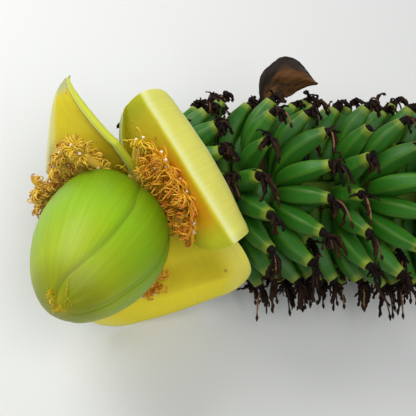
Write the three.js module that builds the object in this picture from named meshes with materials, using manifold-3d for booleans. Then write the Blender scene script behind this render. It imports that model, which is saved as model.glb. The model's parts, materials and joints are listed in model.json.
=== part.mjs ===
// Cut flower stalk of a banana plant: a bunch of small green fruits, the hooked stalk end, a fat
// bud in its wrapping bracts, three opened bracts with their rows of flowers, and one dried bract.
// Units are millimetres. In the stalk's own frame +X runs from the hook to the cut and the bunch
// lies along it; the group then lays the whole thing down and moves it onto the floor.

import * as THREE from 'three';
import Module from 'manifold-3d';

const wasm = await Module();
wasm.setup();

const DEG = Math.PI / 180;
const UP = new THREE.Vector3( 0, 0, 1 );

// Clearances
const SEAT = 0.35;
const ROOM = 0.4;

// Stalk: a slight bow along the bunch, a hook, and a short straight neck into the bud
const STALK = {
	span: 372,
	bow: 24,
	bowFade: 160,
	hookRadius: 60,
	hookTurn: 68,
	neck: 12.6,
	neckRadius: 12,
	hookStartRadius: 14.5,
	cutRadius: 18,
	sides: 14,
	hookRings: 7,
	spanRings: 7,
};

// Bud: a fat egg that narrows to its tip, round a heart with two wrapping bracts
const BUD = {
	length: 163,
	radius: 61,
	skewPower: 0.694,
	fullPower: 0.5,
	sides: 20,
	rings: 12,
	wrapThick: 1.8,
};

const WRAPS = {
	bud_wrap_1: { edge: [ - 25, 4 ], farEdge: [ - 150, - 60 ], start: 0.05, end: 0.99, off: 1.4 },
	bud_wrap_2: { edge: [ - 84, - 122 ], farEdge: [ - 215, - 200 ], start: 0.05, end: 0.95, off: 4.3 },
};

// Opened bracts. turn is the place round the bud's axis, back the distance behind the bud's foot,
// lean the heading of the middle line at each fraction in at, from straight out towards the tip
// of the bud. The cups are the radii across the sheet at foot and tip; a negative one rolls back.
const BRACTS = {
	bract_upper: {
		turn: 40, skew: 2, back: 7.5, length: 147, left: 48, right: 47,
		widest: 0.45, foot: 0.43, tipPower: [ 0.78, 0.78 ], tipRoot: 1.1, footCup: 92, tipCup: 66,
		at: [ 0, 0.15, 0.35, 0.55, 0.75, 1 ],
		lean: [ - 7, 13, 17, - 14, - 27, - 85 ],
	},
	bract_side: {
		turn: - 39, skew: - 15, back: 22, length: 174, left: 76, right: 87,
		widest: 0.52, foot: 0.26, tipPower: [ 2.6, 7 ], tipRoot: 1.5, footCup: 150, tipCup: - 260,
		at: [ 0, 0.15, 0.35, 0.585, 0.615, 0.72, 0.85, 1 ],
		lean: [ - 6, 28, 33, 28, - 44, - 78, - 130, - 165 ],
	},
	bract_lower: {
		turn: - 150, skew: - 21, back: 17, length: 178, left: 95, right: 86,
		widest: 0.5, foot: 0.36, tipPower: [ 2, 2 ], tipRoot: 0.9, footCup: 140, tipCup: - 300,
		at: [ 0, 0.15, 0.35, 0.48, 0.56, 0.72, 0.85, 1 ],
		lean: [ - 8, 22, 26, 14, - 12, - 30, - 85, - 130 ],
	},
};
const BRACT_THICK = 2.4;
const BRACT_COLUMNS = 9;

// Rows of flowers, one in front of each opened bract. tilt leans a row's two ends
// apart, and slope makes one end longer
const FLOWER_ROWS = {
	flowers_upper: { turn: 72, fan: 47, count: 8, ahead: - 5, length: 88, leanFoot: 6, leanTip: 29, tilt: 8, slope: - 0.03 },
	flowers_side: { turn: - 39, fan: 43, count: 7, ahead: - 6, length: 95, leanFoot: 8, leanTip: 42, tilt: - 6, slope: 0.1 },
	flowers_lower: { turn: - 170, fan: 32, count: 6, ahead: - 6, length: 90, leanFoot: 4, leanTip: 35, tilt: 0, slope: 0 },
};
const FLOWER = { at: [ 0, 0.7, 1 ], radii: [ 1.7, 4.4, 1.7 ], rowGap: 6.5 };

// Hands of fruit, set in turn on the front and the back of the bunch, in two rows each
const HANDS = {
	count: 7,
	first: - 16,
	pitch: 52,
	front: 52,
	swap: 176,
	fruitStep: 22,
	rowSizes: [ 11, 10 ],
	rowOffset: 11.5,
	middleLean: [ [ - 34, 8 ], [ 12, 44 ] ],
	flankLean: [ [ - 8, 20 ], [ 0, 28 ] ],
	flank: 66,
	bare: 3,
	crownWidth: 34,
	crownDepth: 8,
};
const FRUIT = {
	length: 86,
	at: [ 0, 0.5, 1 ],
	radii: [ 3.3, 9.8, 7 ],
	sides: 5,
	remnant: 20,
	remnantRadius: 3.4,
	remnantTip: 1.6,
	mostInside: 40,
};
const HANG = new THREE.Vector3( 0, - 0.6, - 0.8 );

// Dried bract: a strip from the stalk out between two hands, and a bent flap at its end
const DRIED = {
	place: 86,
	round: 122,
	length: 160,
	bendFrom: 0.38,
	bend: 110,
	stripWidth: 4.5,
	flapWidth: 25,
	thick: 2.4,
	crumple: 7,
	rows: 12,
	columns: 4,
};

// How it lies: the turns that lay it on the floor, and the shift onto it
const LIE = { roll: - 27.72, pitch: - 3.07 };

function lerp( a, b, t ) {

	return a + ( b - a ) * t;

}

// A smooth curve through the values at the given places, flat at its turning points
function smooth( x, places, values ) {

	const last = places.length - 1;
	let i = 0;
	while ( i < last - 1 && x >= places[ i + 1 ] ) i ++;
	const slope = ( k ) => ( values[ k + 1 ] - values[ k ] ) / ( places[ k + 1 ] - places[ k ] );
	const tangent = ( k ) => {

		if ( k === 0 ) return slope( 0 );
		if ( k === last ) return slope( last - 1 );
		const before = slope( k - 1 );
		const after = slope( k );
		return before * after <= 0 ? 0 : 2 * before * after / ( before + after );

	};
	const h = places[ i + 1 ] - places[ i ];
	const t = ( x - places[ i ] ) / h;
	const s = 1 - t;
	return ( 1 + 2 * t ) * s * s * values[ i ] + t * s * s * h * tangent( i )
		+ t * t * ( 3 - 2 * t ) * values[ i + 1 ] - t * t * s * h * tangent( i + 1 );

}

// A repeatable number from 0 to 1 for a pair of counts
function chance( a, b ) {

	const x = Math.sin( a * 127.1 + b * 311.7 ) * 43758.5453;
	return x - Math.floor( x );

}

function mix( u, v, angle ) {

	return u.clone().multiplyScalar( Math.cos( angle ) ).addScaledVector( v, Math.sin( angle ) );

}

// Stalk frame

const BOW_SLOPE = Math.atan( STALK.bow / STALK.bowFade );
const HOOK_ANGLE = STALK.hookTurn * DEG;
const HOOK_ARC = STALK.hookRadius * HOOK_ANGLE;
const BUD_PLACE = - ( HOOK_ARC + STALK.neck );

function hookHeading( s ) {

	return Math.PI - BOW_SLOPE + Math.min( - s / STALK.hookRadius, HOOK_ANGLE );

}

function stalkPoint( s ) {

	if ( s >= 0 ) return new THREE.Vector3( s, - STALK.bow * ( 1 - Math.exp( - s / STALK.bowFade ) ), 0 );
	const h = hookHeading( s );
	const h0 = hookHeading( 0 );
	const straight = Math.max( 0, - s - HOOK_ARC );
	return new THREE.Vector3(
		STALK.hookRadius * ( Math.sin( h ) - Math.sin( h0 ) ) + straight * Math.cos( h ),
		- STALK.hookRadius * ( Math.cos( h ) - Math.cos( h0 ) ) + straight * Math.sin( h ),
		0 );

}

// Unit vector along the stalk, towards the cut
function stalkDirection( s ) {

	if ( s >= 0 ) return new THREE.Vector3( 1, - STALK.bow / STALK.bowFade * Math.exp( - s / STALK.bowFade ), 0 ).normalize();
	const h = hookHeading( s );
	return new THREE.Vector3( - Math.cos( h ), - Math.sin( h ), 0 );

}

function stalkRadius( s ) {

	if ( s < 0 ) return lerp( STALK.hookStartRadius, STALK.neckRadius, s / BUD_PLACE );
	return lerp( STALK.hookStartRadius, STALK.cutRadius, s / STALK.span );

}

const BUD_FOOT = stalkPoint( BUD_PLACE );
const BUD_AXIS = stalkDirection( BUD_PLACE ).negate();
const BUD_SIDE = new THREE.Vector3().crossVectors( BUD_AXIS, UP );

// Solids from grids of points

function solid( points, faces ) {

	const mesh = new wasm.Mesh( {
		numProp: 3,
		vertProperties: new Float32Array( points.flatMap( ( p ) => [ p.x, p.y, p.z ] ) ),
		triVerts: new Uint32Array( faces.flat() ),
	} );
	mesh.merge();
	const made = new wasm.Manifold( mesh );
	if ( made.volume() >= 0 ) return made;
	return solid( points, faces.map( ( [ a, b, c ] ) => [ a, c, b ] ) );

}

// Rings of points joined into one body. An end closes flat, or in a fan to a pole where it has one
function loft( rings, startPole, endPole ) {

	const n = rings[ 0 ].length;
	const points = rings.flat();
	const faces = [];
	for ( let i = 0; i + 1 < rings.length; i ++ ) {

		for ( let j = 0; j < n; j ++ ) {

			const a = i * n + j;
			const b = i * n + ( j + 1 ) % n;
			faces.push( [ a, b, b + n ], [ a, b + n, a + n ] );

		}

	}

	const lastRing = ( rings.length - 1 ) * n;
	const close = ( pole, start, flip ) => {

		const fan = pole ? points.push( pole ) - 1 : start;
		for ( let j = pole ? 0 : 1; j < ( pole ? n : n - 1 ); j ++ ) {

			const a = start + j;
			const b = start + ( j + 1 ) % n;
			faces.push( flip ? [ fan, b, a ] : [ fan, a, b ] );

		}

	};

	close( startPole, 0, true );
	close( endPole, lastRing, false );
	return solid( points, faces );

}

// A sheet of even thickness on both sides of a grid of points, grown all round by a clearance
function sheet( grid, thick, grow = 0 ) {

	const rows = grid.length;
	const columns = grid[ 0 ].length;
	const at = ( i, j ) => grid[ Math.min( Math.max( i, 0 ), rows - 1 ) ][ Math.min( Math.max( j, 0 ), columns - 1 ) ];
	const front = [];
	const behind = [];
	for ( let i = 0; i < rows; i ++ ) {

		for ( let j = 0; j < columns; j ++ ) {

			const along = at( i + 1, j ).clone().sub( at( i - 1, j ) );
			const across = at( i, j + 1 ).clone().sub( at( i, j - 1 ) );
			const normal = new THREE.Vector3().crossVectors( along, across ).normalize();
			const rim = at( i, j ).clone();
			rim.addScaledVector( along.normalize(), grow * ( i === 0 ? - 1 : i === rows - 1 ? 1 : 0 ) );
			rim.addScaledVector( across.normalize(), grow * ( j === 0 ? - 1 : j === columns - 1 ? 1 : 0 ) );
			front.push( rim.clone().addScaledVector( normal, thick / 2 + grow ) );
			behind.push( rim.clone().addScaledVector( normal, - thick / 2 - grow ) );

		}

	}

	const count = rows * columns;
	const faces = [];
	const wall = ( a, b ) => faces.push( [ a, b, b + count ], [ a, b + count, a + count ] );
	for ( let i = 0; i + 1 < rows; i ++ ) {

		for ( let j = 0; j + 1 < columns; j ++ ) {

			const a = i * columns + j;
			const b = a + 1;
			const c = b + columns;
			const d = a + columns;
			faces.push( [ a, c, b ], [ a, d, c ] );
			faces.push( [ a + count, b + count, c + count ], [ a + count, c + count, d + count ] );

		}

	}

	for ( let j = 0; j + 1 < columns; j ++ ) {

		wall( j, j + 1 );
		wall( ( rows - 1 ) * columns + j + 1, ( rows - 1 ) * columns + j );

	}

	for ( let i = 0; i + 1 < rows; i ++ ) {

		wall( ( i + 1 ) * columns, i * columns );
		wall( i * columns + columns - 1, ( i + 1 ) * columns + columns - 1 );

	}

	return solid( [ ...front, ...behind ], faces );

}

// A ring of points round a centre, in the plane of two unit vectors
function ring( centre, u, v, radius, sides, phase = 0 ) {

	return Array.from( { length: sides }, ( _, j ) => mix( u, v, phase + 2 * Math.PI * j / sides )
		.multiplyScalar( radius ).add( centre ) );

}

// The largest piece that a cut leaves
function largest( body ) {

	return body.decompose().reduce( ( best, piece ) => piece.volume() > best.volume() ? piece : best );

}

// A tapering limb along a list of centres, with a fan at each end
function limb( centres, radii, sides, across, phase = 0 ) {

	const rings = centres.map( ( centre, i ) => {

		const ahead = centres[ Math.min( i + 1, centres.length - 1 ) ];
		const along = ahead.clone().sub( centres[ Math.max( i - 1, 0 ) ] ).normalize();
		const v = new THREE.Vector3().crossVectors( along, across ).normalize();
		const u = new THREE.Vector3().crossVectors( v, along );
		return ring( centre, u, v, radii[ i ], sides, phase );

	} );
	return loft( rings );

}

// Stalk

function stalk( grow = 0, past = 0 ) {

	const places = [];
	for ( let i = 0; i < STALK.hookRings; i ++ ) places.push( lerp( BUD_PLACE + SEAT - past, 0, i / STALK.hookRings ) );
	for ( let i = 0; i <= STALK.spanRings; i ++ ) places.push( lerp( 0, STALK.span + past, i / STALK.spanRings ) );
	const rings = places.map( ( s ) => {

		const side = new THREE.Vector3().crossVectors( UP, stalkDirection( s ) );
		return ring( stalkPoint( s ), side, UP, stalkRadius( s ) + grow, STALK.sides );

	} );
	return loft( rings, stalkPoint( places[ 0 ] ), stalkPoint( places[ places.length - 1 ] ) );

}

// Bud

function budRadius( t ) {

	const full = Math.sin( Math.PI * Math.min( Math.max( t, 0 ), 1 ) ** BUD.skewPower );
	return BUD.radius * Math.max( full, 0 ) ** BUD.fullPower;

}

function budPoint( t, turn, off ) {

	return mix( UP, BUD_SIDE, turn ).multiplyScalar( budRadius( t ) + off )
		.addScaledVector( BUD_AXIS, t * BUD.length ).add( BUD_FOOT );

}

function budRings() {

	return Array.from( { length: BUD.rings }, ( _, i ) => 0.5 - 0.5 * Math.cos( Math.PI * ( i + 1 ) / ( BUD.rings + 1 ) ) );

}

function budHeart( grow = 0 ) {

	const rings = budRings().map( ( t ) => Array.from( { length: BUD.sides },
		( _, j ) => budPoint( t, 2 * Math.PI * j / BUD.sides, grow ) ) );
	const foot = BUD_FOOT.clone().addScaledVector( BUD_AXIS, - grow );
	const tip = BUD_FOOT.clone().addScaledVector( BUD_AXIS, BUD.length + grow );
	return loft( rings, foot, tip );

}

// A wrap lies over the heart between two lines that run from the bud's shoulder to its tip
function budWrap( wrap, grow = 0 ) {

	const places = budRings().filter( ( t ) => t > wrap.start && t < wrap.end );
	const columns = 9;
	const grid = places.map( ( t ) => {

		const near = smooth( t, [ 0, 0.72, 1 ], [ 0, 0, 1 ] );
		const from = lerp( ...wrap.edge, near );
		const to = lerp( ...wrap.farEdge, near );
		return Array.from( { length: columns }, ( _, j ) => budPoint( t,
			lerp( from, to, j / ( columns - 1 ) ) * DEG, wrap.off + BUD.wrapThick / 2 ) );

	} );
	return sheet( grid, BUD.wrapThick, grow );

}

// Opened bracts

function bractHalfWidth( bract, u, side ) {

	if ( u < bract.widest ) return bract.foot + ( 1 - bract.foot ) * Math.sin( u / bract.widest * Math.PI / 2 );
	const past = ( u - bract.widest ) / ( 1 - bract.widest );
	return Math.max( 1 - past ** bract.tipPower[ side ], 0.001 ) ** ( 1 / bract.tipRoot );

}

function bractGrid( bract, rows, columns ) {

	const out = mix( UP, BUD_SIDE, bract.turn * DEG );
	const round = new THREE.Vector3().crossVectors( BUD_AXIS, out );
	const across = mix( round, BUD_AXIS, bract.skew * DEG );
	const ahead = mix( BUD_AXIS, round, - bract.skew * DEG );
	const middle = BUD_FOOT.clone().addScaledVector( BUD_AXIS, - bract.back ).addScaledVector( out, STALK.neckRadius - 3 );
	const grid = [];
	const steps = 10;
	rows.forEach( ( u, i ) => {

		for ( let k = 0; i > 0 && k < steps; k ++ ) {

			const part = lerp( rows[ i - 1 ], u, ( k + 0.5 ) / steps );
			const lean = smooth( part, bract.at, bract.lean ) * DEG;
			middle.addScaledVector( mix( out, ahead, lean ), ( u - rows[ i - 1 ] ) * bract.length / steps );

		}

		const lean = smooth( u, bract.at, bract.lean ) * DEG;
		const inner = mix( ahead, out, - lean );
		const bend = lerp( 1 / bract.footCup, 1 / bract.tipCup, u );
		grid.push( columns.map( ( v ) => {

			const width = Math.max( v > 0 ? bractHalfWidth( bract, u, 0 ) * bract.left : bractHalfWidth( bract, u, 1 ) * bract.right, 3 );
			const turn = v * width * bend;
			return middle.clone().addScaledVector( across, Math.sin( turn ) / bend )
				.addScaledVector( inner, ( 1 - Math.cos( turn ) ) / bend );

		} ) );

	} );
	return grid;

}

function bract( sizes, grow = 0 ) {

	const rows = sizes.at.flatMap( ( u, i ) => u - sizes.at[ i - 1 ] > 0.13 ? [ ( sizes.at[ i - 1 ] + u ) / 2, u ] : [ u ] );
	const columns = Array.from( { length: BRACT_COLUMNS }, ( _, j ) => lerp( - 1, 1, j / ( BRACT_COLUMNS - 1 ) ) );
	return sheet( bractGrid( sizes, rows, columns ), BRACT_THICK, grow );

}

// A cushion part of the way round the stalk, which flowers or fruits stand on
function cushion( s, turn, fan, width, depth ) {

	const along = stalkDirection( s );
	const side = new THREE.Vector3().crossVectors( UP, along ).negate();
	const steps = Math.max( 4, Math.round( fan / 20 ) );
	const inside = stalkRadius( s ) * 0.8;
	const outside = stalkRadius( s ) + depth;
	const rings = Array.from( { length: steps + 1 }, ( _, i ) => {

		const out = mix( side, UP, ( turn + lerp( - fan, fan, i / steps ) ) * DEG );
		return [ [ inside, - 0.5 ], [ outside, - 0.38 ], [ outside, 0.38 ], [ inside, 0.5 ] ]
			.map( ( [ r, w ] ) => stalkPoint( s ).addScaledVector( out, r ).addScaledVector( along, w * width ) );

	} );
	return loft( rings );

}

// Points along a line that leaves the stalk and bends from one heading to another
function bentLine( start, out, ahead, length, leanFoot, leanTip, places ) {

	const line = [ start.clone() ];
	const steps = 6;
	const at = start.clone();
	for ( let i = 1; i < places.length; i ++ ) {

		for ( let k = 0; k < steps; k ++ ) {

			const t = lerp( places[ i - 1 ], places[ i ], ( k + 0.5 ) / steps );
			const step = ( places[ i ] - places[ i - 1 ] ) * length / steps;
			at.addScaledVector( mix( out, ahead, lerp( leanFoot, leanTip, t ) * DEG ), step );

		}

		line.push( at.clone() );

	}

	return line;

}

// One flower: a tube that widens to its mouth, and the threads that stand out of it as one spike
function flower( start, out, ahead, across, row, grow ) {

	const line = bentLine( start, out, ahead, row.length, row.leanFoot, row.leanTip, FLOWER.at );
	return limb( line, FLOWER.radii.map( ( r ) => r + grow ), 4, across, Math.PI / 4 );

}

function flowerRow( row, grow = 0 ) {

	const s = BUD_PLACE - row.ahead;
	const pieces = [];
	for ( let side = 0; side < 2; side ++ ) {

		for ( let i = 0; i < row.count - side; i ++ ) {

			const part = ( i + side / 2 ) / ( row.count - 1 ) * 2 - 1;
			const out = mix( UP, BUD_SIDE, ( row.turn + part * row.fan ) * DEG );
			const round = new THREE.Vector3().crossVectors( BUD_AXIS, out );
			const start = BUD_FOOT.clone().addScaledVector( BUD_AXIS, row.ahead + ( side - 0.5 ) * FLOWER.rowGap )
				.addScaledVector( out, STALK.neckRadius );
			const length = row.length * ( 0.94 + 0.1 * chance( i, side ) - row.slope * part );
			const lean = row.tilt * part;
			const bent = { leanFoot: row.leanFoot + lean, leanTip: row.leanTip + lean, length: length + grow };
			pieces.push( flower( start, out, BUD_AXIS, round, bent, grow ) );

		}

	}

	pieces.push( cushion( s, row.turn + 90, row.fan, 14 + 2 * grow, 5 + grow ) );
	return wasm.Manifold.union( pieces );

}

// Fruits

// The line and thickness of one fruit, with the withered flower on its end
function fruitLine( hand, rowIndex, index ) {

	const aside = ( index - ( HANDS.rowSizes[ rowIndex ] - 1 ) / 2 ) * HANDS.fruitStep;
	const turn = HANDS.front + HANDS.swap * hand + aside;
	const flank = smooth( Math.min( Math.abs( aside ) / HANDS.flank, 1 ), [ 0, 0.5, 1 ], [ 0, 0.5, 1 ] );
	const lean = HANDS.middleLean[ rowIndex ].map( ( angle, i ) => lerp( angle, HANDS.flankLean[ rowIndex ][ i ], flank ) );
	const young = smooth( hand, [ 0, 2, HANDS.count - 1 ], [ 0.8, 0.97, 1 ] );
	const vary = chance( hand * 3 + rowIndex, index );
	const s = HANDS.first + HANDS.pitch * hand + ( 2 * rowIndex - 1 ) * HANDS.rowOffset;
	const along = stalkDirection( s );
	const side = new THREE.Vector3().crossVectors( UP, along ).negate();
	const out = mix( side, UP, turn * DEG );
	const start = stalkPoint( s ).addScaledVector( out, stalkRadius( s ) + 1 );
	const length = FRUIT.length * young * ( 0.94 + 0.1 * vary );
	const line = bentLine( start, out, along, length, lean[ 0 ], lean[ 1 ] + 6 * ( vary - 0.5 ), FRUIT.at );
	const end = line[ line.length - 1 ];
	const heading = end.clone().sub( line[ line.length - 2 ] ).normalize();
	const reach = FRUIT.remnant * ( 0.6 + 0.6 * vary );
	line.push( end.clone().addScaledVector( heading, 0.6 ) );
	line.push( end.clone().addScaledVector( heading, reach * 0.6 ).addScaledVector( HANG, reach * 0.45 ) );
	const body = FRUIT.radii.map( ( r ) => r * lerp( 0.9, 1, young ) );
	return {
		hand, line,
		radii: [ ...body, FRUIT.remnantRadius, FRUIT.remnantTip ],
		across: new THREE.Vector3().crossVectors( along, out ),
	};

}

function fruitBody( one, grow = 0 ) {

	const line = one.line.map( ( p ) => p.clone() );
	const last = line.length - 1;
	line[ last ].addScaledVector( line[ last ].clone().sub( line[ last - 1 ] ).normalize(), grow );
	return limb( line, one.radii.map( ( r ) => r + grow ), FRUIT.sides, one.across, Math.PI / 2 );

}

// A fruit that would lie in one of another hand, in the bud or in a bract is left out,
// and so are the first hand's fruits next to the bud
function allFruits( room ) {

	const kept = [];
	const nearer = ( a, b ) => a.line.some( ( p, i ) => b.line.some(
		( q, j ) => i > 0 && j > 0 && p.distanceTo( q ) < ( a.radii[ i ] + b.radii[ j ] ) * 0.78 ) );
	for ( let hand = 0; hand < HANDS.count; hand ++ ) {

		HANDS.rowSizes.forEach( ( size, rowIndex ) => {

			for ( let i = hand === 0 ? HANDS.bare : 0; i < size; i ++ ) {

				const candidate = fruitLine( hand, rowIndex, i );
				const blocked = kept.some( ( other ) => other.hand !== hand && nearer( candidate, other ) );
				const inside = fruitBody( candidate ).intersect( room ).volume();
				if ( ! blocked && inside < FRUIT.mostInside ) kept.push( candidate );

			}

		} );

	}

	return kept;

}

function hand( fruits, index, grow = 0 ) {

	const pieces = fruits.filter( ( one ) => one.hand === index ).map( ( one ) => fruitBody( one, grow ) );
	const centre = HANDS.front + HANDS.swap * index;
	const reach = HANDS.fruitStep * HANDS.rowSizes[ 0 ] / 2;
	pieces.push( cushion( HANDS.first + HANDS.pitch * index, centre, reach, HANDS.crownWidth + 2 * grow, HANDS.crownDepth + grow ) );
	return wasm.Manifold.union( pieces );

}

// Dried bract

function driedBract( grow = 0 ) {

	const along = stalkDirection( DRIED.place );
	const side = new THREE.Vector3().crossVectors( UP, along ).negate();
	const out = mix( side, UP, DRIED.round * DEG );
	const face = new THREE.Vector3().crossVectors( along, out );
	const at = stalkPoint( DRIED.place ).addScaledVector( out, stalkRadius( DRIED.place ) - 2 );
	const grid = [];
	for ( let i = 0; i < DRIED.rows; i ++ ) {

		const u = i / ( DRIED.rows - 1 );
		const heading = mix( out, along, DRIED.bend * DEG * smooth( u, [ 0, DRIED.bendFrom, 1 ], [ 0, 0, 1 ] ) );
		const width = smooth( u, [ 0, DRIED.bendFrom, 0.75, 1 ], [ DRIED.stripWidth, DRIED.stripWidth, DRIED.flapWidth, 2.5 ] );
		const across = new THREE.Vector3().crossVectors( face, heading );
		grid.push( Array.from( { length: DRIED.columns }, ( _, j ) => {

			const v = lerp( - 1, 1, j / ( DRIED.columns - 1 ) );
			const wave = DRIED.crumple * Math.sin( 9 * u + 2.4 * v ) * smooth( u, [ 0, DRIED.bendFrom, 1 ], [ 0, 0, 1 ] );
			return at.clone().addScaledVector( across, v * width ).addScaledVector( face, wave );

		} ) );
		at.addScaledVector( heading, DRIED.length / ( DRIED.rows - 1 ) );

	}

	return sheet( grid, DRIED.thick, grow );

}

// Assembly: what is softer or lies on top gives way to what carries it

const stalkRoom = stalk( SEAT, 5 );
const bodies = { stalk: stalk(), bud_heart: budHeart() };
const budRooms = [ budHeart( ROOM ) ];
for ( const [ name, wrap ] of Object.entries( WRAPS ) ) {

	bodies[ name ] = largest( budWrap( wrap ).subtract( wasm.Manifold.union( budRooms ) ) );
	budRooms.push( budWrap( wrap, ROOM ) );

}

const budRoom = wasm.Manifold.union( budRooms );
const bractRooms = [];
for ( const [ name, sizes ] of Object.entries( BRACTS ) ) {

	const rooms = [ stalkRoom, budRoom, ...bractRooms ];
	bodies[ name ] = largest( bract( sizes ).subtract( wasm.Manifold.union( rooms ) ) );
	bractRooms.push( bract( sizes, ROOM ) );

}

const flowerRooms = [ stalkRoom, budRoom, ...bractRooms ];
const rowRooms = [];
for ( const [ name, row ] of Object.entries( FLOWER_ROWS ) ) {

	bodies[ name ] = largest( flowerRow( row ).subtract( wasm.Manifold.union( [ ...flowerRooms, ...rowRooms ] ) ) );
	rowRooms.push( flowerRow( row, ROOM ) );

}

bodies.dried_bract = largest( driedBract().subtract( stalkRoom ) );
const softRoom = wasm.Manifold.union( [ budRoom, ...bractRooms, ...rowRooms ] );
const fruits = allFruits( softRoom );
const taken = [ stalkRoom, softRoom, driedBract( ROOM ) ];
for ( let i = 0; i < HANDS.count; i ++ ) {

	bodies[ `hand_${ i + 1 }` ] = largest( hand( fruits, i ).subtract( wasm.Manifold.union( taken ) ) );
	taken.push( hand( fruits, i, ROOM ) );

}

// Colours

const FINISHES = {
	stalk: { color: 0x6f8f2f, roughness: 0.6 },
	bud: { color: 0x8fb52a, roughness: 0.45 },
	bract: { color: 0xd2c23c, roughness: 0.5 },
	flowers: { color: 0xb8741c, roughness: 0.7 },
	fruit: { color: 0x2f6a1e, roughness: 0.5 },
	dried: { color: 0x4a2c18, roughness: 0.85 },
};

function finishOf( name ) {

	if ( name === 'dried_bract' ) return FINISHES.dried;
	return FINISHES[ { stalk: 'stalk', bud: 'bud', bract: 'bract', flowers: 'flowers', hand: 'fruit' }[ name.split( '_' )[ 0 ] ] ];

}

function toMesh( name, body ) {

	const { vertProperties, triVerts } = body.getMesh();
	const geometry = new THREE.BufferGeometry();
	geometry.setAttribute( 'position', new THREE.BufferAttribute( Float32Array.from( vertProperties ), 3 ) );
	geometry.setIndex( new THREE.BufferAttribute( Uint32Array.from( triVerts ), 1 ) );
	geometry.computeVertexNormals();
	const mesh = new THREE.Mesh( geometry, new THREE.MeshStandardMaterial( { ...finishOf( name ), metalness: 0 } ) );
	mesh.name = name;
	return mesh;

}

const laid = new THREE.Group();
laid.rotation.set( LIE.roll * DEG, LIE.pitch * DEG, 0 );
for ( const [ name, body ] of Object.entries( bodies ) ) laid.add( toMesh( name, body ) );
laid.updateMatrixWorld( true );

// The middle of the underside goes to the origin
const box = new THREE.Box3();
laid.traverse( ( piece ) => {

	if ( piece.isMesh ) box.expandByObject( piece, true );

} );
const middle = box.getCenter( new THREE.Vector3() );
laid.position.set( - middle.x, - middle.y, - box.min.z );

const plant = new THREE.Group();
plant.add( laid );
plant.updateMatrixWorld( true );

export default plant;
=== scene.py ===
"""Dresses a cut banana flower stalk: young fruit, a fat bud, opened bracts and their flowers."""

import json
import math

import bmesh
import bpy
import numpy as np
from bpy.props import FloatProperty, FloatVectorProperty, PointerProperty
from mathutils import Matrix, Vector
from mathutils.kdtree import KDTree


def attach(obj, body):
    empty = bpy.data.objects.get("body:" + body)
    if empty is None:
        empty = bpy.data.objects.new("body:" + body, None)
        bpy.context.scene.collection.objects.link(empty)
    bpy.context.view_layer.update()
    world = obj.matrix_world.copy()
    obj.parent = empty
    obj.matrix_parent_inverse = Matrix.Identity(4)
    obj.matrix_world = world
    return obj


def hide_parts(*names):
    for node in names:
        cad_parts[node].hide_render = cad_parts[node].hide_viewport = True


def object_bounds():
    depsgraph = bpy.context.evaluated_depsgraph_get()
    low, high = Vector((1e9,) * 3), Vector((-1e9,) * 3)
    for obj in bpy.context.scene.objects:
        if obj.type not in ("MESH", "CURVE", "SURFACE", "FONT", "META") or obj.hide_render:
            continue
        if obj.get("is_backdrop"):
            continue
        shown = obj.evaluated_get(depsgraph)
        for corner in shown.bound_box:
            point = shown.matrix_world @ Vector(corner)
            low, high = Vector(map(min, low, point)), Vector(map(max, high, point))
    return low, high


bl_info = {
    "name": "Banana Flower Stalk",
    "version": (1, 0, 0),
    "blender": (4, 5, 0),
    "location": "3D View > Sidebar > Banana",
    "description": "Dresses a cut banana flower stalk: bud, bracts, flowers and young fruit",
    "category": "Add Mesh",
}

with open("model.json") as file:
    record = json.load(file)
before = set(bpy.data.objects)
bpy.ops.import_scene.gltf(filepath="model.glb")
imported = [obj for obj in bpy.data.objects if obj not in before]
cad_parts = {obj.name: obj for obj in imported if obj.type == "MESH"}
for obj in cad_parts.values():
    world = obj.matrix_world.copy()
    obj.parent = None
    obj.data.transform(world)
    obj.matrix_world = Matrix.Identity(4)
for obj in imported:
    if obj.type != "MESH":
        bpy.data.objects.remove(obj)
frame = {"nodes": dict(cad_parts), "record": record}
CAD_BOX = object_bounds()
BODY = "root"

# Sizes and places are in millimetres in the stalk's own frame. +X runs from the hook to the cut,
# and the bunch lies along it. Angles are in degrees.
MM = 0.001
UP = np.array([0.0, 0.0, 1.0])

# Seeds of the random draws
FRILL_SEED, FLOWER_SEED, FRUIT_SEED, WITHERED_SEED = 31, 5, 11, 23

# How the stalk lies on the floor
LIE_ROLL, LIE_PITCH = -27.72, -3.07

# Stalk: a slight bow along the bunch, a hook, and a short neck into the bud
SPAN = 372
BOW, BOW_FADE = 24, 160
HOOK_RADIUS, HOOK_TURN = 60, math.radians(68)
NECK = 12.6
NECK_RADIUS, HOOK_START_RADIUS, CUT_RADIUS = 12, 14.5, 18
# Its skin lies this deep before the ribs and the scars are added. A scar stands before each hand,
# at this share of the pitch.
SKIN_DEPTH = 0.6
SCAR_BEFORE, SCAR_HEIGHT, SCAR_WIDTH = 0.42, 0.9, 1.6
BOW_SLOPE = math.atan(BOW / BOW_FADE)
HOOK_ARC = HOOK_RADIUS * HOOK_TURN
BUD_PLACE = -(HOOK_ARC + NECK)

# Bud: an egg that narrows to its tip. Each of its bracts dips towards the one that lies over it.
BUD_LENGTH, BUD_RADIUS = 163, 61
BUD_SKEW, BUD_FULL = 0.694, 0.5
BUD_DIP, BUD_DIP_REACH = 1.1, 6
# Where the bud stands out from its round form: fraction along, angle, height, and spread in both
BUD_FORMS = (
    (0.17, 26, 4.4, 0.14, 34),
    (0.12, 338, -2.6, 0.12, 16),
    (0.4, 62, 1.4, 0.3, 40),
    (0.5, 245, -1.6, 0.5, 50),
)
# How deep the edge of a wrapping bract starts under its full height, how deep its back lies, and
# the distance from an edge that the paint takes as far
WRAP_EDGE, WRAP_BACK = 0.9, 2.2
FAR_FROM_EDGE = 50
# It rises from its edge in a rounded lip, for this share of its height, and then in a soft slope.
LIP_SHARE, LIP_REACH, SLOPE_REACH = 0.3, 0.7, 14

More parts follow.
